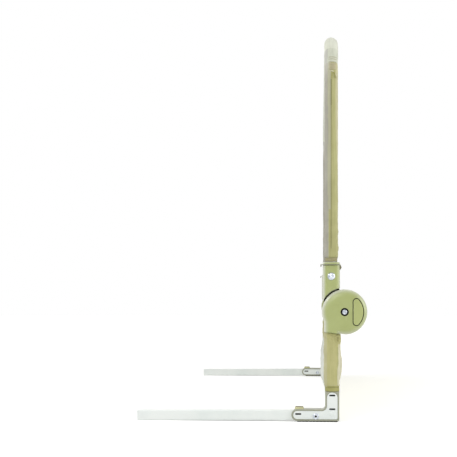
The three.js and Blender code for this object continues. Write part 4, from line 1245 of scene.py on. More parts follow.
# Folds low on a post's outer side: height, half width and depth, which is less than 0 in a hollow
POST_FOLDS = ((275, 4, 0.9), (251.5, 3.4, 1.0), (267, 4, -0.5), (245, 3, -0.5))
POST_FOLDS_FACE = math.radians(60)
SLEEVE_CLOTHS = [KHAKI, BEDSIDE, PLEAT, CAP, KHAKI_RIM_LIGHT, KHAKI_SHEEN, PLEAT_SHADE]


def ease(value, low, high):
    """0 below low, 1 above high, and a smooth rise between them."""
    share = min(max((value - low) / (high - low), 0), 1)
    return share * share * (3 - 2 * share)


def ridge(value, middle, width):
    """A smooth bump of height 1 about a middle."""
    return math.exp(-(((value - middle) / width) ** 2))


def ripple(x, y, z=0.0):
    """Smooth repeatable unevenness between -1 and 1."""
    return noise.noise(Vector((x, y, z)))


def mapped(shape, map_of):
    """Gives a cloth its own map, in metres, from a place on it in millimetres."""
    threads = shape.loops.layers.uv.new("cloth")
    for face in shape.faces:
        for loop in face.loops:
            loop[threads].uv = [length * MM for length in map_of(loop.vert.co)]
    return shape


def cloth_grid(columns, rows, flat, place, seamed=True):
    """A flat cut of cloth, its size in millimetres, taken to a place for each (u, v)."""
    shape = bmesh.new()
    bmesh.ops.create_grid(shape, x_segments=columns, y_segments=rows, size=0.5)
    mapped(shape, lambda at: ((at.x + 0.5) * flat[0], (at.y + 0.5) * flat[1]))
    for vert in shape.verts:
        vert.co = place(vert.co.x + 0.5, vert.co.y + 0.5)
    return facing_out(merged(shape) if seamed else shape)


def closed_ends(shape):
    """Sews the open ends of a closed section shut."""
    bmesh.ops.holes_fill(shape, edges=[edge for edge in shape.edges if edge.is_boundary])
    return facing_out(shape)


def to_rail(shape):
    """From millimetres about the posts' plane to the whole rail's frame."""
    place = Matrix.Translation((POST_X, 0, 0)) @ Matrix.Diagonal((MM, MM, MM, 1))
    bmesh.ops.transform(shape, matrix=place, verts=shape.verts)
    return shape


def rail_path(along):
    """The upper tube's centre (y, z) at a length from the near foot, and its turn from 0 to pi."""
    near_end = -HALF_SPACING
    for way, length in ((1, along), (-1, SLEEVE_LENGTH - along)):
        turn, y, z = 0, near_end, SLEEVE_FOOT + length
        if length > POST_LENGTH + BEND_LENGTH:
            continue
        if length > POST_LENGTH:
            turn = (length - POST_LENGTH) / BEND_RADIUS
            y = near_end + BEND_RADIUS * (1 - math.cos(turn))
            z = BEND_START + BEND_RADIUS * math.sin(turn)
        return (y, z, turn) if way > 0 else (-y, z, math.pi - turn)
    return near_end + BEND_RADIUS + along - POST_LENGTH - BEND_LENGTH, TUBE_TOP, QUARTER


def sleeve_swell(along, around):
    """How far the sleeve's cloth stands off its even round."""
    end = min(along, SLEEVE_LENGTH - along)
    across, out = math.cos(around), math.sin(around)
    height = SLEEVE_FOOT + end
    swell = 0.35 * ripple(along / 34, across * 0.9, out * 0.9)
    creases = 1 - abs(ripple(along / 11, across * 1.4 + 4, out * 1.4))
    swell += 0.7 * creases**6 * (0.35 + 0.65 * (1 - ease(end, 25, 110)))
    side = max(0.0, math.cos(around - POST_FOLDS_FACE))
    swell += side * sum(depth * ridge(height, at, width) for at, width, depth in POST_FOLDS)
    # The hem's roll
    swell += 0.5 * ridge(end, 5, 4) - 0.25 * ridge(end, 0, 2.2)
    # The pleat's gathers between the last seam and the cap, and the cap's own edge
    turn = (end - POST_LENGTH) / BEND_RADIUS
    gathers = ease(turn, SEAM_TURNS[2] - 0.03, SEAM_TURNS[2] + 0.06)
    gathers *= 1 - 0.75 * ease(turn, CAP_TURN - 0.05, CAP_TURN + 0.1)
    swell += gathers * 0.32 * math.cos(around * 11 + 0.6 * ripple(along / 9, 3.0))
    swell += 0.35 * ease(turn, CAP_TURN - 0.02, CAP_TURN + 0.02)
    swell -= 0.35 * sum(ridge(turn, seam, 0.02) for seam in SEAM_TURNS)
    return swell - 0.3 * ridge(turn, CAP_TURN - 0.03, 0.02)


def on_sleeve(along, around, lift=0.0):
    """A point on the upper sleeve: around is 0 away from the bed and 90 degrees outside."""
    y, z, turn = rail_path(along)
    reach = SLEEVE_RADIUS - 0.35 + sleeve_swell(along, around) + lift
    out = reach * math.sin(around)
    return Vector((reach * math.cos(around), y - out * math.cos(turn), z + out * math.sin(turn)))


def over(surface, along, around, lift):
    """A point over a cloth's surface, and the way out of it there."""
    point = surface(along, around, lift)
    return point, (point - surface(along, around, lift - 2)).normalized()


def sleeve_cloth(middle):
    """Khaki up the posts, with a paler khaki painted as rim light on their outer edge and a greyed
    khaki painted as a pale sheen towards the bed; grey-beige on the bed side, cream gathers with a
    darker copy painted as shade on their bed side, and an off-white cap.
    """
    turn = math.atan2(middle.z - BEND_START, abs(middle.y) - HALF_SPACING + BEND_RADIUS)
    if abs(middle.y) < HALF_SPACING - BEND_RADIUS or turn > CAP_TURN:
        return CAP
    if turn > SEAM_TURNS[0]:
        # The gathers' bed side takes a darker copy of their cloth, painted as shade.
        return PLEAT if middle.x > -5.6 else PLEAT_SHADE
    if middle.x < -4.9:
        return BEDSIDE
    # Between the khaki and the bed side, a greyed khaki is painted as a pale sheen.
    if middle.x < (-0.8 if middle.z > 308 else -3.4):
        return KHAKI_SHEEN
    # The post's outer edge is painted paler as rim light.
    return KHAKI_RIM_LIGHT if middle.x > 6.2 + 4 * ease(440 - middle.z, 0, 120) else KHAKI


def make_upper_sleeve():
    shape = cloth_grid(
        64, 520, (math.tau * SLEEVE_RADIUS, SLEEVE_LENGTH),
        lambda u, v: on_sleeve(v * SLEEVE_LENGTH, math.tau * u - QUARTER),
    )
    facing(shape, lambda middle: SLEEVE_CLOTHS.index(sleeve_cloth(middle)))
    sleeve = placed(
        "upper_sleeve_cloth", to_rail(shape), SLEEVE_CLOTHS, "upper_frame", ["upper_sleeve"],
        wall=0.9,
    )

    def on_hem(u, v):
        around = math.tau * u - QUARTER
        across, out = math.cos(around), math.sin(around)
        rolled_edge = 0.35 * math.sin(math.pi * v) - 0.3 * ridge(v, 0.35, 0.06)
        reach = HEM_BAND_RADIUS + rolled_edge + 0.25 * ripple(across * 1.5, v * 2, out * 1.5)
        return Vector((reach * across, reach * out, HEM_BAND_FOOT + v * HEM_BAND_HEIGHT))

    hem = cloth_grid(48, 12, (56, HEM_BAND_HEIGHT), on_hem)
    return sleeve, at_both_ends("upper_sleeve_hem", hem, [TAN], body="upper_frame", wall=0.7)


def thread_row(places, length, radius):
    """A row of sewn stitches: small rounded ends of thread at (place, direction, normal)."""
    row = bmesh.new()
    for place, direction, normal in places:
        frame_of = Matrix((direction, normal.cross(direction), normal)).transposed().to_4x4()
        size = Matrix.Diagonal((length / 2, radius, radius, 1))
        bmesh.ops.create_icosphere(
            row, subdivisions=1, radius=1, matrix=Matrix.Translation(place) @ frame_of @ size,
        )
    return row


def stitches_along(path, count, length, radius):
    """Evenly spaced stitches on a path of (point, normal) for a share from 0 to 1."""
    places = []
    step = 0.2 / count
    for i in range(count):
        share = (i + 0.5) / count
        point, normal = path(share)
        direction = (path(share + step)[0] - path(share - step)[0]).normalized()
        places.append((point, direction, (normal - normal.project(direction)).normalized()))
    return thread_row(places, length, radius)


def cord_along(path, radius, steps, sides=8, closed=False):
    """A thin round cord on a path of (point, normal) for a share from 0 to 1."""
    ahead = 1e-3

    def place(u, v):
        point, normal = path(v)
        direction = (path(v + ahead)[0] - path(v - ahead)[0]).normalized()
        side = direction.cross(normal).normalized()
        around = math.tau * u
        return point + radius * (math.cos(around) * normal + math.sin(around) * side)

    shape = cloth_grid(sides, steps, (math.tau * radius, radius * steps), place)
    return facing_out(merged(shape, 2 * SAME_PLACE)) if closed else closed_ends(shape)


# The zip's cover up each post, by heights: its slit, its sewn line, its end patch and its pull
ZIP_LINE = math.radians(92)
ZIP_SLIT = (456, 494, 0.0)
ZIP_SEAM = (250, 455.5, -0.25)
ZIP_PATCH = (507.5, 516)
ZIP_PULL = 495
ZIP_PIPING = 506


def make_sleeve_trim():
    """The seams, the zip's covered line and its end at the top of each post."""
    trims = []

    def add_trim(name, shape, material, wall=0.0):
        near_end = moved(shape, y=HALF_SPACING)
        trims.extend(at_both_ends(name, near_end, [material], body="upper_frame", wall=wall))

    def at_height(height, degrees, lift):
        return over(on_sleeve, height - SLEEVE_FOOT, math.radians(degrees), lift)

    for i, turn in enumerate(SEAM_TURNS):
        def ring(share, along=POST_LENGTH + BEND_RADIUS * turn):
            return over(on_sleeve, along, math.radians(38 + 76 * share), 0.1)

        add_trim(f"sleeve_seam_fold_{i + 1}", cord_along(ring, 0.42, 40), TAN)
    for name, (low, high, lift), material in (
        ("zip_slit_lip", ZIP_SLIT, SEAM), ("zip_cover_seam", ZIP_SEAM, THREAD),
    ):
        def line(share, low=low, high=high, lift=lift):
            return over(on_sleeve, low + (high - low) * share - SLEEVE_FOOT, ZIP_LINE, lift)

        add_trim(name, cord_along(line, 0.5, 60), material)

    def tab(u, v):
        low, high = ZIP_PATCH
        bands = 0.45 * (ridge(v, 0.28, 0.07) + ridge(v, 0.72, 0.07))
        edge = min(1.0, 6 * min(u, 1 - u, v, 1 - v) + 0.15)
        return at_height(low + (high - low) * v, 108 - 60 * u, 0.1 + 0.9 * edge - bands)[0]

    patch = cloth_grid(18, 22, (10.2, 8.5), tab, seamed=False)
    add_trim("zip_end_patch", patch, PATCH, wall=0.5)

    def pull(share):
        turn = math.pi * (0.02 + 0.96 * share)
        return at_height(ZIP_PULL + 9 * math.sin(turn), 70 + 15 * math.cos(turn), 0.55)

    add_trim("zip_pull_loop", cord_along(pull, 0.8, 26), HEM)

    def piping(share):
        return at_height(ZIP_PIPING - 9 * max(share, 0.0) ** 2.2, 95 - 55 * share, 0.35)

    add_trim("zip_end_piping", cord_along(piping, 0.8, 16), PALE)
    return trims


# Panels

PANEL_FOOT = 195
PANEL_TOP = TUBE_TOP - 8.6
PANEL_HALF = HALF_SPACING - 8.7
# Half the panel's width beside the hinge arms, below the sleeve
PANEL_LOW_HALF = 441
WINDOW_HALF = 356
WINDOW_CORNER = 30
# How far out from the window's edge its two rows of stitches run, and each row's count, the
# stitches' length and their thread's radius
WINDOW_STITCHES = (-2.6, 6.6)
WINDOW_THREAD = (380, 2.9, 0.42)
NET_PITCH = 6
NET_THREAD = 1.15
NET_TUCK = 1.5
WINDOW_LOW = 258
WINDOW_HIGH = SLEEVE_TOP - 76
SIDE_SHARES = (0.32, 0.03, 0.12, 0.03, 0.32, 0.03, 0.12, 0.03)


def frame_point(share, half, low, high, low_corner, top_corner):
    """A point (y, z) round an upright rectangle with round corners, from its lower left."""
    corners = (
        ((half - low_corner, low + low_corner), low_corner, -90),
        ((half - top_corner, high - top_corner), top_corner, 0),
        ((-half + top_corner, high - top_corner), top_corner, 90),
        ((-half + low_corner, low + low_corner), low_corner, 180),
    )
    share %= 1.0
    for i, part in enumerate(SIDE_SHARES):
        if share <= part + 1e-9:
            break
        share -= part
    share /= part
    centre, radius, start = corners[i // 2]
    if i % 2:
        turn = math.radians(start + 90 * share)
        return centre[0] + radius * math.cos(turn), centre[1] + radius * math.sin(turn)
    before, before_radius, before_start = corners[i // 2 - 1]
    ends = []
    for (y, z), reach, turn in (
        (before, before_radius, before_start + 90), (centre, radius, start),
    ):
        ends.append((y + reach * math.cos(math.radians(turn)),
                     z + reach * math.sin(math.radians(turn))))
    return tuple(a + (b - a) * share for a, b in zip(*ends))


def panel_wave(y, z):
    """The slack of the upper panel, which dies out towards its edges."""
    edges = ease(PANEL_HALF - abs(y), 0, 90) * ease(PANEL_TOP - z, 0, 70) * ease(z, 190, 250)
    return edges * (2.4 * ripple(y / 150, z / 120) + 0.7 * ripple(y / 47, z / 60, 4))


def beside_hinge(y, z):
    """Draws the panel's sides in below the sleeve, where the hinge arms are."""
    return y * (1 - (1 - ease(z, 228, 246)) * (1 - PANEL_LOW_HALF / PANEL_HALF))


def window_edge(share, out):
    """A point (y, z) on the window's edge, or a way out from it."""
    corner = WINDOW_CORNER + out
    return frame_point(
        share, WINDOW_HALF + out, WINDOW_LOW - out, WINDOW_HIGH + out, corner, corner,
    )


def border_point(share, across):
    """A point of the panel's border, across from the window's edge (0) to the sleeve (1)."""
    inner = window_edge(share, 0)
    outer = frame_point(share, PANEL_HALF, PANEL_FOOT, PANEL_TOP, 2, 36)
    y, z = (a + (b - a) * across for a, b in zip(inner, outer))
    return beside_hinge(y, z), z


def make_upper_panel():
    def border(u, v):
        front = v < 0.5
        across = 2 * v if front else 2 - 2 * v
        y, z = border_point(u, across)
        half = 0.6 + 1.7 * max(math.sin(math.pi * across), 0.0) ** 0.55
        pucker = 0.55 * math.sin(u * math.tau * 96 + 2.5 * ripple(u * 40, 1.0))
        pucker *= ridge(across, 0.12, 0.12) + 0.8 * ridge(across, 0.93, 0.07)
        soft = 0.5 * ripple(y / 24, z / 24, 1.5 if front else 7.5)
        swell = max(half + (pucker + soft) * min(1.0, 4 * across * (1 - across) + 0.1), 0.4)
        return Vector((panel_wave(y, z) + (swell if front else -swell), y, z))

    shape = cloth_grid(560, 36, (2450, 180), border)
    window_slit = [edge for edge in shape.edges if edge.is_boundary]
    bmesh.ops.bridge_loops(shape, edges=window_slit)
    facing(facing_out(shape), lambda middle: 0 if middle.x > panel_wave(middle.y, middle.z) else 1)
    panel = placed(
        "upper_panel_border", to_rail(shape), [KHAKI, BEDSIDE], "upper_frame", ["upper_panel"],
    )

    def binding(u, v):
        turn = math.tau * v
        out = 2 + 7 * math.cos(turn) * (1 - 0.12 * math.cos(turn) ** 4)
        y, z = window_edge(u, out)
        thick_half = 2.7 if math.sin(turn) > 0 else -2.7
        lift = thick_half * abs(math.sin(turn)) ** 0.35
        return Vector((panel_wave(y, z) + lift + 0.12 * ripple(y / 6, z / 6), y, z))

    tape = cloth_grid(560, 20, (1600, 30), binding)
    tape = placed("panel_window_binding", to_rail(tape), [BINDING], "upper_frame")

    rows = []
    for side in (1, -1):
        for out in WINDOW_STITCHES:
            def path(share, side=side, out=out):
                y, z = window_edge(share, out)
                point = Vector((panel_wave(y, z) + side * 2.55, y, z))
                return point, Vector((side, 0, 0))

            rows.append(stitches_along(path, *WINDOW_THREAD))
    thread = placed("panel_window_stitching", to_rail(together(*rows)), [THREAD], "upper_frame")
    return panel, [tape, thread, make_net()]


def make_net():
    """The window's knitted net: diamond holes between threads."""
    half_high = (WINDOW_HIGH - WINDOW_LOW) / 2
    # The grid stands on its corner, so its half diagonal spans half the window both ways.
    count = int((WINDOW_HALF + half_high) / NET_PITCH * 0.72) * 2
    shape = bmesh.new()
    bmesh.ops.create_grid(shape, x_segments=count, y_segments=count, size=count * NET_PITCH / 2)
    rolled(shape, QUARTER / 2, "Z")

    def outside(face):
        y, z = (abs(length) for length in face.calc_center_median()[:2])
        past = math.hypot(
            max(y - WINDOW_HALF + WINDOW_CORNER, 0), max(z - half_high + WINDOW_CORNER, 0),
        ) - WINDOW_CORNER
        return max(past, y - WINDOW_HALF, z - half_high) > NET_TUCK

    spare = [face for face in shape.faces if outside(face)]
    bmesh.ops.delete(shape, geom=spare, context="FACES")
    holes = shape.faces[:]
    bmesh.ops.inset_individual(shape, faces=holes, thickness=NET_THREAD, use_even_offset=True)
    bmesh.ops.delete(shape, geom=holes, context="FACES_ONLY")
    moved(rolled(standing(shape), QUARTER, "Z"), z=(WINDOW_LOW + WINDOW_HIGH) / 2)
    for vert in shape.verts:
        vert.co.x = panel_wave(vert.co.y, vert.co.z)
    mapped(shape, lambda at: (at.y, at.z))
    return placed("panel_window_net", to_rail(shape), [NET], "upper_frame", wall=0.55)


CROSSING_LOW = 122.5
CROSSING_HIGH = 198.5
CROSSING_HALF = 440.5
CROSSING_BENDS = (126.5, 194.5)
SEAM_RADIUS = 2.6
CROSSING_SEAMS = (
    ("panel_seam_upper", 197.0, "upper_frame"), ("panel_seam_lower", 123.6, "lower_frame"),
)


def make_crossing():
    """The cloth that passes behind the hinges, and its two seams."""
    def place(u, v):
        front = v < 0.5
        up = 2 * v if front else 2 - 2 * v
        y = CROSSING_HALF * (2 * u - 1)
        z = CROSSING_LOW + (CROSSING_HIGH - CROSSING_LOW) * up
        half = 0.5 + 1.7 * math.sin(math.pi * min(max(up, 0), 1)) ** 0.5
        half *= (0.25 + 0.75 * ease(min(u, 1 - u), 0, 0.012)) * min(1, 72 * min(v, 1 - v))
        folds = 0.9 * ripple(y / 70, z / 10, 2.0) + 0.4 * ripple(y / 22, z / 14, 9.0)
        folds *= math.sin(math.pi * min(max(up, 0), 1))
        return Vector((folds + (half if front else -half), y, z))

    shape = closed_ends(cloth_grid(220, 72, (882, 154), place))
    facing(shape, lambda middle: 0 if middle.x > 0 else 1)
    crossing = placed("panel_crossing", to_rail(shape), [KHAKI, BEDSIDE], None)
    low, high = ((POST_X, 0, height * MM) for height in CROSSING_BENDS)
    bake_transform(crossing)
    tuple(low)
    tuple(high)
    seams = []
    for name, height, body in CROSSING_SEAMS:
        def path(share, height=height):
            y = CROSSING_HALF * (2 * share - 1)
            return Vector((0.3 * ripple(y / 40, height), y, height)), Vector((1, 0, 0))

        seams.append(placed(name, to_rail(cord_along(path, SEAM_RADIUS, 260, 12)), [BINDING], body))
    return crossing, seams


LOWER_TOP = 125
LOWER_FOOT = 1.9
LOWER_END_FOOT = 22.2
LOWER_HALF = 446.3
PANEL_PRESSURE = 2.5
PANEL_SLACK = 0.04
CLOTH_FRAMES = 20
CLOTH_CAP = 4
LOWER_BULGES = {1: (84, 11.5), -1: (60, 13.8)}
BULGE_START = 38
POCKET_RADIUS = 9.1


def lower_half_width(z, side):
    """Half the lower panel's thickness at a height, on its outer or bed side."""
    widest, widest_half = LOWER_BULGES[side]
    if z < CROSS_TUBE_HEIGHT:
        return math.sqrt(max(POCKET_RADIUS**2 - (CROSS_TUBE_HEIGHT - z) ** 2, 0.0))
    if z < widest:
        return POCKET_RADIUS + (widest_half - POCKET_RADIUS) * ease(z, BULGE_START, widest)
    return widest_half + (2.0 - widest_half) * ease(z, widest, LOWER_TOP + 4)


def lower_section(v):
    """A point (x, z) round the lower panel's section, from its top down the outer side."""
    side = 1 if v < 0.5 else -1
    down = 2 * v if v < 0.5 else 2 - 2 * v
    z = LOWER_TOP - (LOWER_TOP - LOWER_FOOT) * (1 - (1 - down) ** 1.25)
    if down > 0.999:
        z = LOWER_FOOT
    middle = LOWER_POST_X * (1 - ease(z, 90, LOWER_TOP))
    return middle + side * lower_half_width(z, side), z


def make_lower_panel():
    def place(u, v):
        y = LOWER_HALF * (2 * u - 1)
        x, z = lower_section(v)
        end = ease(abs(y), 424, 433)
        foot = LOWER_FOOT + (LOWER_END_FOOT - LOWER_FOOT) * end
        z = LOWER_TOP - (LOWER_TOP - z) * (LOWER_TOP - foot) / (LOWER_TOP - LOWER_FOOT)
        side = 1 if v < 0.5 else -1
        free = ease(z, 24, 40) * ease(LOWER_TOP - z, 4, 26)
        swell = 1.1 * ripple(y / 60, z / 45, side * 3) + 0.6 * ripple(y / 19, z / 60, side * 8)
        gather = 0.5 * math.sin(y / 5.2 + 3 * ripple(y / 30, 2.0)) * (
            ridge(z, 26, 7) + 0.8 * ridge(z, LOWER_TOP - 8, 7)
        )
        close = (0.35 + 0.65 * ease(LOWER_HALF - abs(y), 0, 9)) * min(1, 84 * min(v, 1 - v))
        x_middle = LOWER_POST_X * (1 - ease(z, 90, LOWER_TOP))
        x = x_middle + (x - x_middle) * close + side * (free * swell + gather) * close
        y = min(max(y, -CROSSING_HALF + 0.5), CROSSING_HALF - 0.5) if z > 121 else y
        return Vector((x, y, z))

    shape = closed_ends(cloth_grid(300, 84, (900, 290), place))
    facing(shape, lambda middle: 0 if middle.x > LOWER_POST_X else 1)
    panel = placed(
        "lower_panel_cloth", to_rail(shape), [PALE, PALE_BED], "lower_frame", ["lower_panel"],
    )

    def sewn(place):
        free = ease(place.z, 46, 58) * ease(LOWER_TOP - place.z, 6, 34)
        if place.x < POST_X / MM + LOWER_POST_X:
            free *= 1 - ease(place.z, 68, 84)
        return 1 - free * ease(LOWER_HALF - abs(place.y), 3, 14)

    return settled(panel, sewn)


def settled(piece, pinned):
    """Blows a closed cloth up a little by simulation, so that it takes its own wrinkles."""
    sewn = piece.vertex_groups.new(name="sewn")
    for vert in piece.data.vertices:
        sewn.add([vert.index], pinned(vert.co / MM), "REPLACE")
    blown = piece.modifiers.new("cloth", "CLOTH")
    blown.settings.quality = 5
    blown.settings.use_pressure = True
    blown.settings.uniform_pressure_force = PANEL_PRESSURE
    blown.settings.vertex_group_mass = sewn.name
    blown.settings.shrink_min = -PANEL_SLACK
    blown.settings.effector_weights.gravity = 0
    blown.point_cache.frame_end = CLOTH_FRAMES
    for step in range(1, CLOTH_FRAMES + 1):
        bpy.context.scene.frame_set(step)
    result = piece.evaluated_get(bpy.context.evaluated_depsgraph_get())
    places = [vert.co.copy() for vert in result.to_mesh().vertices]
    result.to_mesh_clear()
    piece.modifiers.remove(blown)
    piece.vertex_groups.remove(sewn)
    bpy.context.scene.frame_set(1)
    for vert, place in zip(piece.data.vertices, places):
        move = place - vert.co
        vert.co += move * min(1.0, CLOTH_CAP * MM / max(move.length, 1e-9))
    return piece


# Lower sleeves

LOWER_SLEEVE_FOOT = 44
HEM_TOP = 51.5
HEM_STITCHES = (52.7, 50.1)
HEM_THREAD = (26, 2.7, 0.36)
LOOP_MIDDLE = Vector((9.6, -12.6, 119.8))
LOOP_ACROSS = Vector((2.5, -0.7, 0))
LOOP_UP = Vector((0, 0, 4.3))
LOOP_NORMAL = Vector((0.3, -1, 0)).normalized()
LOOP_RADIUS = 1.15


def lower_sleeve_point(around, height, lift=0.0):
    """A point on a lower sleeve at an angle from outwards (0) by the rail's end (90 degrees)."""
    narrow = 1 - ease(height, LOWER_SLEEVE_FOOT, 64)
    loose = ease(height, 74, 85)
    half_x = 11.3 + 0.65 * loose - 0.95 * narrow
    half_y = 12.2 - 0.75 * narrow
    across, out = math.cos(around), math.sin(around)
    reach = (abs(across / half_x) ** 3 + abs(out / half_y) ** 3) ** (-1 / 3)
    slant = (height + 9 * across + 3) / 8
    drape = ease(height, 50, 62)
    folds = 1 - abs(ripple(slant, across * 0.8 + 2, out * 0.5))
    swell = drape * (0.85 * folds**5 * (0.4 + 0.6 * ease(height, 70, 118)))
    swell += drape * 0.5 * ripple(height / 18, across * 0.8, out * 0.8 + 5)
    front = math.degrees(around)
    crease = ridge(front, 54, 4.5) + ridge(front, 126, 7) * 0.3
    swell -= crease * 0.9 * ease(height, 46, 60) * (1 - ease(height, 72, 84))
    swell += 0.35 * ridge(height, HEM_STITCHES[0], 0.9) - 0.45 * ridge(height, HEM_STITCHES[1], 0.9)
    reach += swell + lift
    top = 0.35 * ease(height, 122, 127)
    middle = LOWER_POST_X - 0.9 * (1 - loose) * (1 - narrow)
    return Vector((middle + (reach - top) * across, -(reach - top) * out, height))


def make_lower_sleeve():
    def place(u, v):
        around = math.tau * u - QUARTER
        x = LOWER_POST_X + 12 * math.cos(around)
        top = tail_edge(x) - 0.9
        return lower_sleeve_point(around, LOWER_SLEEVE_FOOT + (top - LOWER_SLEEVE_FOOT) * v)

    shape = cloth_grid(72, 62, (84, 84), place)

    def cloth_of(middle):
        around = math.degrees(math.atan2(-middle.y, middle.x - LOWER_POST_X))
        if middle.z < HEM_TOP:
            return HEM
        if -60 < around < 52 and middle.z < 112:
            return PALE
        # The lower sleeve's bed-side edge is painted paler as rim light.
        if middle.x < LOWER_POST_X - 7.4:
            return KHAKI_RIM_LIGHT
        return KHAKI if middle.x > LOWER_POST_X + 6.6 and middle.z < 108 else KHAKI_WARM

    cloths = [KHAKI_WARM, PALE, HEM, KHAKI_RIM_LIGHT, KHAKI]
    facing(shape, lambda middle: cloths.index(cloth_of(middle)))
    sleeves = at_both_ends(
        "lower_sleeve_cloth", shape, cloths, "lower_sleeve", "lower_frame", wall=0.8,
    )

    def ring(height):
        return lambda share: over(lower_sleeve_point, math.tau * share, height, 0.2)

    # The upper row of stitches is paler as a painted highlight, the lower row darker as painted
    # shade, on the hem's fold.
    rows = together(*(stitches_along(ring(height), *HEM_THREAD) for height in HEM_STITCHES))
    facing(rows, lambda middle: int(middle.z < sum(HEM_STITCHES) / 2))
    stitching = at_both_ends(
        "lower_sleeve_stitching", rows, [KHAKI_RIM_LIGHT, SEAM], body="lower_frame",
    )

    def knot(share):
        turn = math.tau * share
        return LOOP_MIDDLE + LOOP_ACROSS * math.cos(turn) + LOOP_UP * math.sin(turn), LOOP_NORMAL

    loops = at_both_ends(
        "lower_sleeve_loop", cord_along(knot, LOOP_RADIUS, 30, 10, closed=True), [KHAKI_WARM],
        body="lower_frame",
    )
    return sleeves, [stitching, loops]


TAB_HEIGHT = 2.5
TAB_WALL = 1.15


def make_strap_tab():
    """A flat loop of webbing on the bracket's arm, its fold at the tip."""
    tab_low, tab_high = node_box_mm("strap_tab_near")
    left, right = tab_low.x, tab_high.x
    low, high, wall = tab_low.z, tab_low.z + TAB_HEIGHT, TAB_WALL
    fold = TAB_HEIGHT / 2
    middle = (low + high) / 2
    outline = trace((right, low), [
        ((right, low + wall),), ((left + fold, low + wall),),
        ((left + fold, middle), -180), ((right - 0.6, high - wall),), ((right - 0.6, high),),
        ((left + fold, high),), ((left + fold, middle), 180), ((right, low),),
    ])
    strap = thick(outline, tab_low.y, tab_high.y)
    bmesh.ops.subdivide_edges(
        strap, edges=[e for e in strap.edges if abs(e.verts[0].co.y - e.verts[1].co.y) > 1],
        cuts=5, use_grid_fill=True,
    )
    mapped(strap, lambda at: (at.y, at.x + at.z))
    facing(facing_out(strap), lambda middle: int(middle.z > high - 0.1))
    return at_both_ends(
        "strap_tab_webbing", strap, [TAPE, TAPE_TOP], "strap_tab", "lower_frame",
    )


def in_metres(wide, long):
    return wide * MM, long * MM


def declare_sheets():
    """Makes every cloth piece of the rail."""
    sleeve, hems = make_upper_sleeve()
    trims = make_sleeve_trim()
    panel, on_panel = make_upper_panel()
    high, wide = PANEL_TOP - PANEL_FOOT, 2 * PANEL_HALF
    in_metres(wide, high)
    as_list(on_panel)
    crossing, seams = make_crossing()
    make_lower_panel()
    lower_sleeves, on_lower_sleeves = make_lower_sleeve()
    for i, side in enumerate(ENDS):
        [pair[i] for pair in on_lower_sleeves]
    for tab, side in zip(make_strap_tab(), ENDS):
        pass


declare_sheets()


# Studio

WORLD_LIGHT = 0.55
FLOOR_HALF = 6
FLOOR_SHIFT = 2
FLOOR_REACH = (0.7, 2.2)
FLOOR_LIFT = (0.36, 0.6)
LAMPS = (
    ("front_softbox", (-0.6, -2.6, 1.4), (0.1, -0.4, 0.25), (1.2, 1.2), 11),
    ("left_softbox", (-1.3, -0.5, 1.15), (0.12, -0.45, 0.22), (0.6, 0.6), 7),
    ("right_softbox", (1.5, -0.8, 0.8), (0.12, -0.4, 0.25), (0.8, 1.2), 9),
    ("top_softbox", (0.0, 0.3, 2.2), (0.1, 0.0, 0.2), (1.6, 2.0), 6),
)
CAMERA_PLACE = (POST_X - 0.0156, -2.06, 0.18)
CAMERA_TURN = math.radians(4.78)
CAMERA_LENS = 86.65
CAMERA_SENSOR = 36
CAMERA_SHIFT = 0.15


def seen_or_mirrored(tree):
    """1 for what the camera sees, by itself or in a shiny surface, and 0 for light."""
    rays = add(tree, "ShaderNodeLightPath").outputs
    return add(
        tree, "ShaderNodeMath", {0: rays["Is Camera Ray"], 1: rays["Is Glossy Ray"]},
        operation="MAXIMUM",
    ).outputs[0]


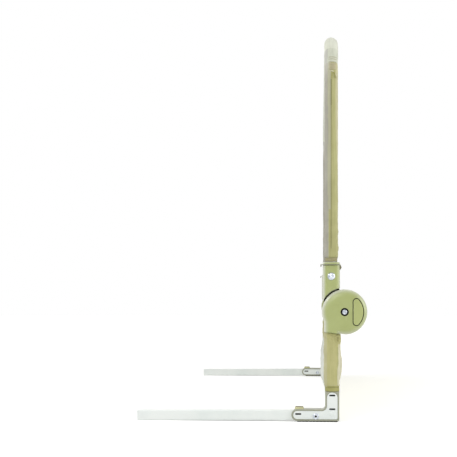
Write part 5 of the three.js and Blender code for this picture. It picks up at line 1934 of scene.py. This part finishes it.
def make_floor():
    """A floor of plain white paper."""
    floor_shape = bmesh.new()
    bmesh.ops.create_grid(floor_shape, x_segments=1, y_segments=1, size=FLOOR_HALF)
    floor = in_scene("floor", as_mesh(moved(floor_shape, y=FLOOR_SHIFT), "floor"))
    material, tree, shader = new_material("matt_white_paper")
    # What the camera sees gets a little more, so that unshaded paper is plain white.
    place = add(tree, "ShaderNodeTexCoord").outputs["Object"]
    distance = add(tree, "ShaderNodeVectorMath", {0: place}, operation="LENGTH").outputs["Value"]
    lift = add(tree, "ShaderNodeMapRange", {
        "Value": distance, "From Min": FLOOR_REACH[0], "From Max": FLOOR_REACH[1],
        "To Min": FLOOR_LIFT[0], "To Max": FLOOR_LIFT[1],
    }).outputs[0]
    strength = add(
        tree, "ShaderNodeMath", {0: seen_or_mirrored(tree), 1: lift}, operation="MULTIPLY",
    ).outputs[0]
    plug(tree, shader, {
        "Base Color": linear("#f4f4f2"), "Roughness": 0.95, "Emission Color": (1, 1, 1, 1),
        "Emission Strength": strength,
    })
    floor.data.materials.append(material)


def make_surround():
    """White as the camera sees it, and dimmer as a light."""
    world = bpy.data.worlds.new("white_surround")
    world.use_nodes = True
    tree = world.node_tree
    tree.nodes.clear()
    strength = add(
        tree, "ShaderNodeMapRange",
        {"Value": seen_or_mirrored(tree), "To Min": WORLD_LIGHT, "To Max": 1.0},
    ).outputs[0]
    light = add(tree, "ShaderNodeBackground", {"Color": (1, 1, 1, 1), "Strength": strength})
    add(tree, "ShaderNodeOutputWorld", {"Surface": light.outputs[0]})
    bpy.context.scene.world = world


def make_lamps_and_camera():
    for name, place, aim, size, power in LAMPS:
        data = bpy.data.lights.new(name, "AREA")
        data.shape = "RECTANGLE"
        data.size, data.size_y = size
        data.energy = power
        lamp = in_scene(name, data)
        lamp.location = place
        lamp.rotation_euler = (Vector(aim) - Vector(place)).to_track_quat("-Z", "Y").to_euler()

    data = bpy.data.cameras.new("camera")
    data.lens = CAMERA_LENS
    data.sensor_width = CAMERA_SENSOR
    data.shift_y = CAMERA_SHIFT
    camera = in_scene("camera", data)
    camera.location = CAMERA_PLACE
    camera.rotation_euler = (QUARTER, 0, CAMERA_TURN)
    bpy.context.scene.camera = camera
    bpy.context.scene.view_settings.view_transform = "Standard"


make_floor()
make_surround()
make_lamps_and_camera()
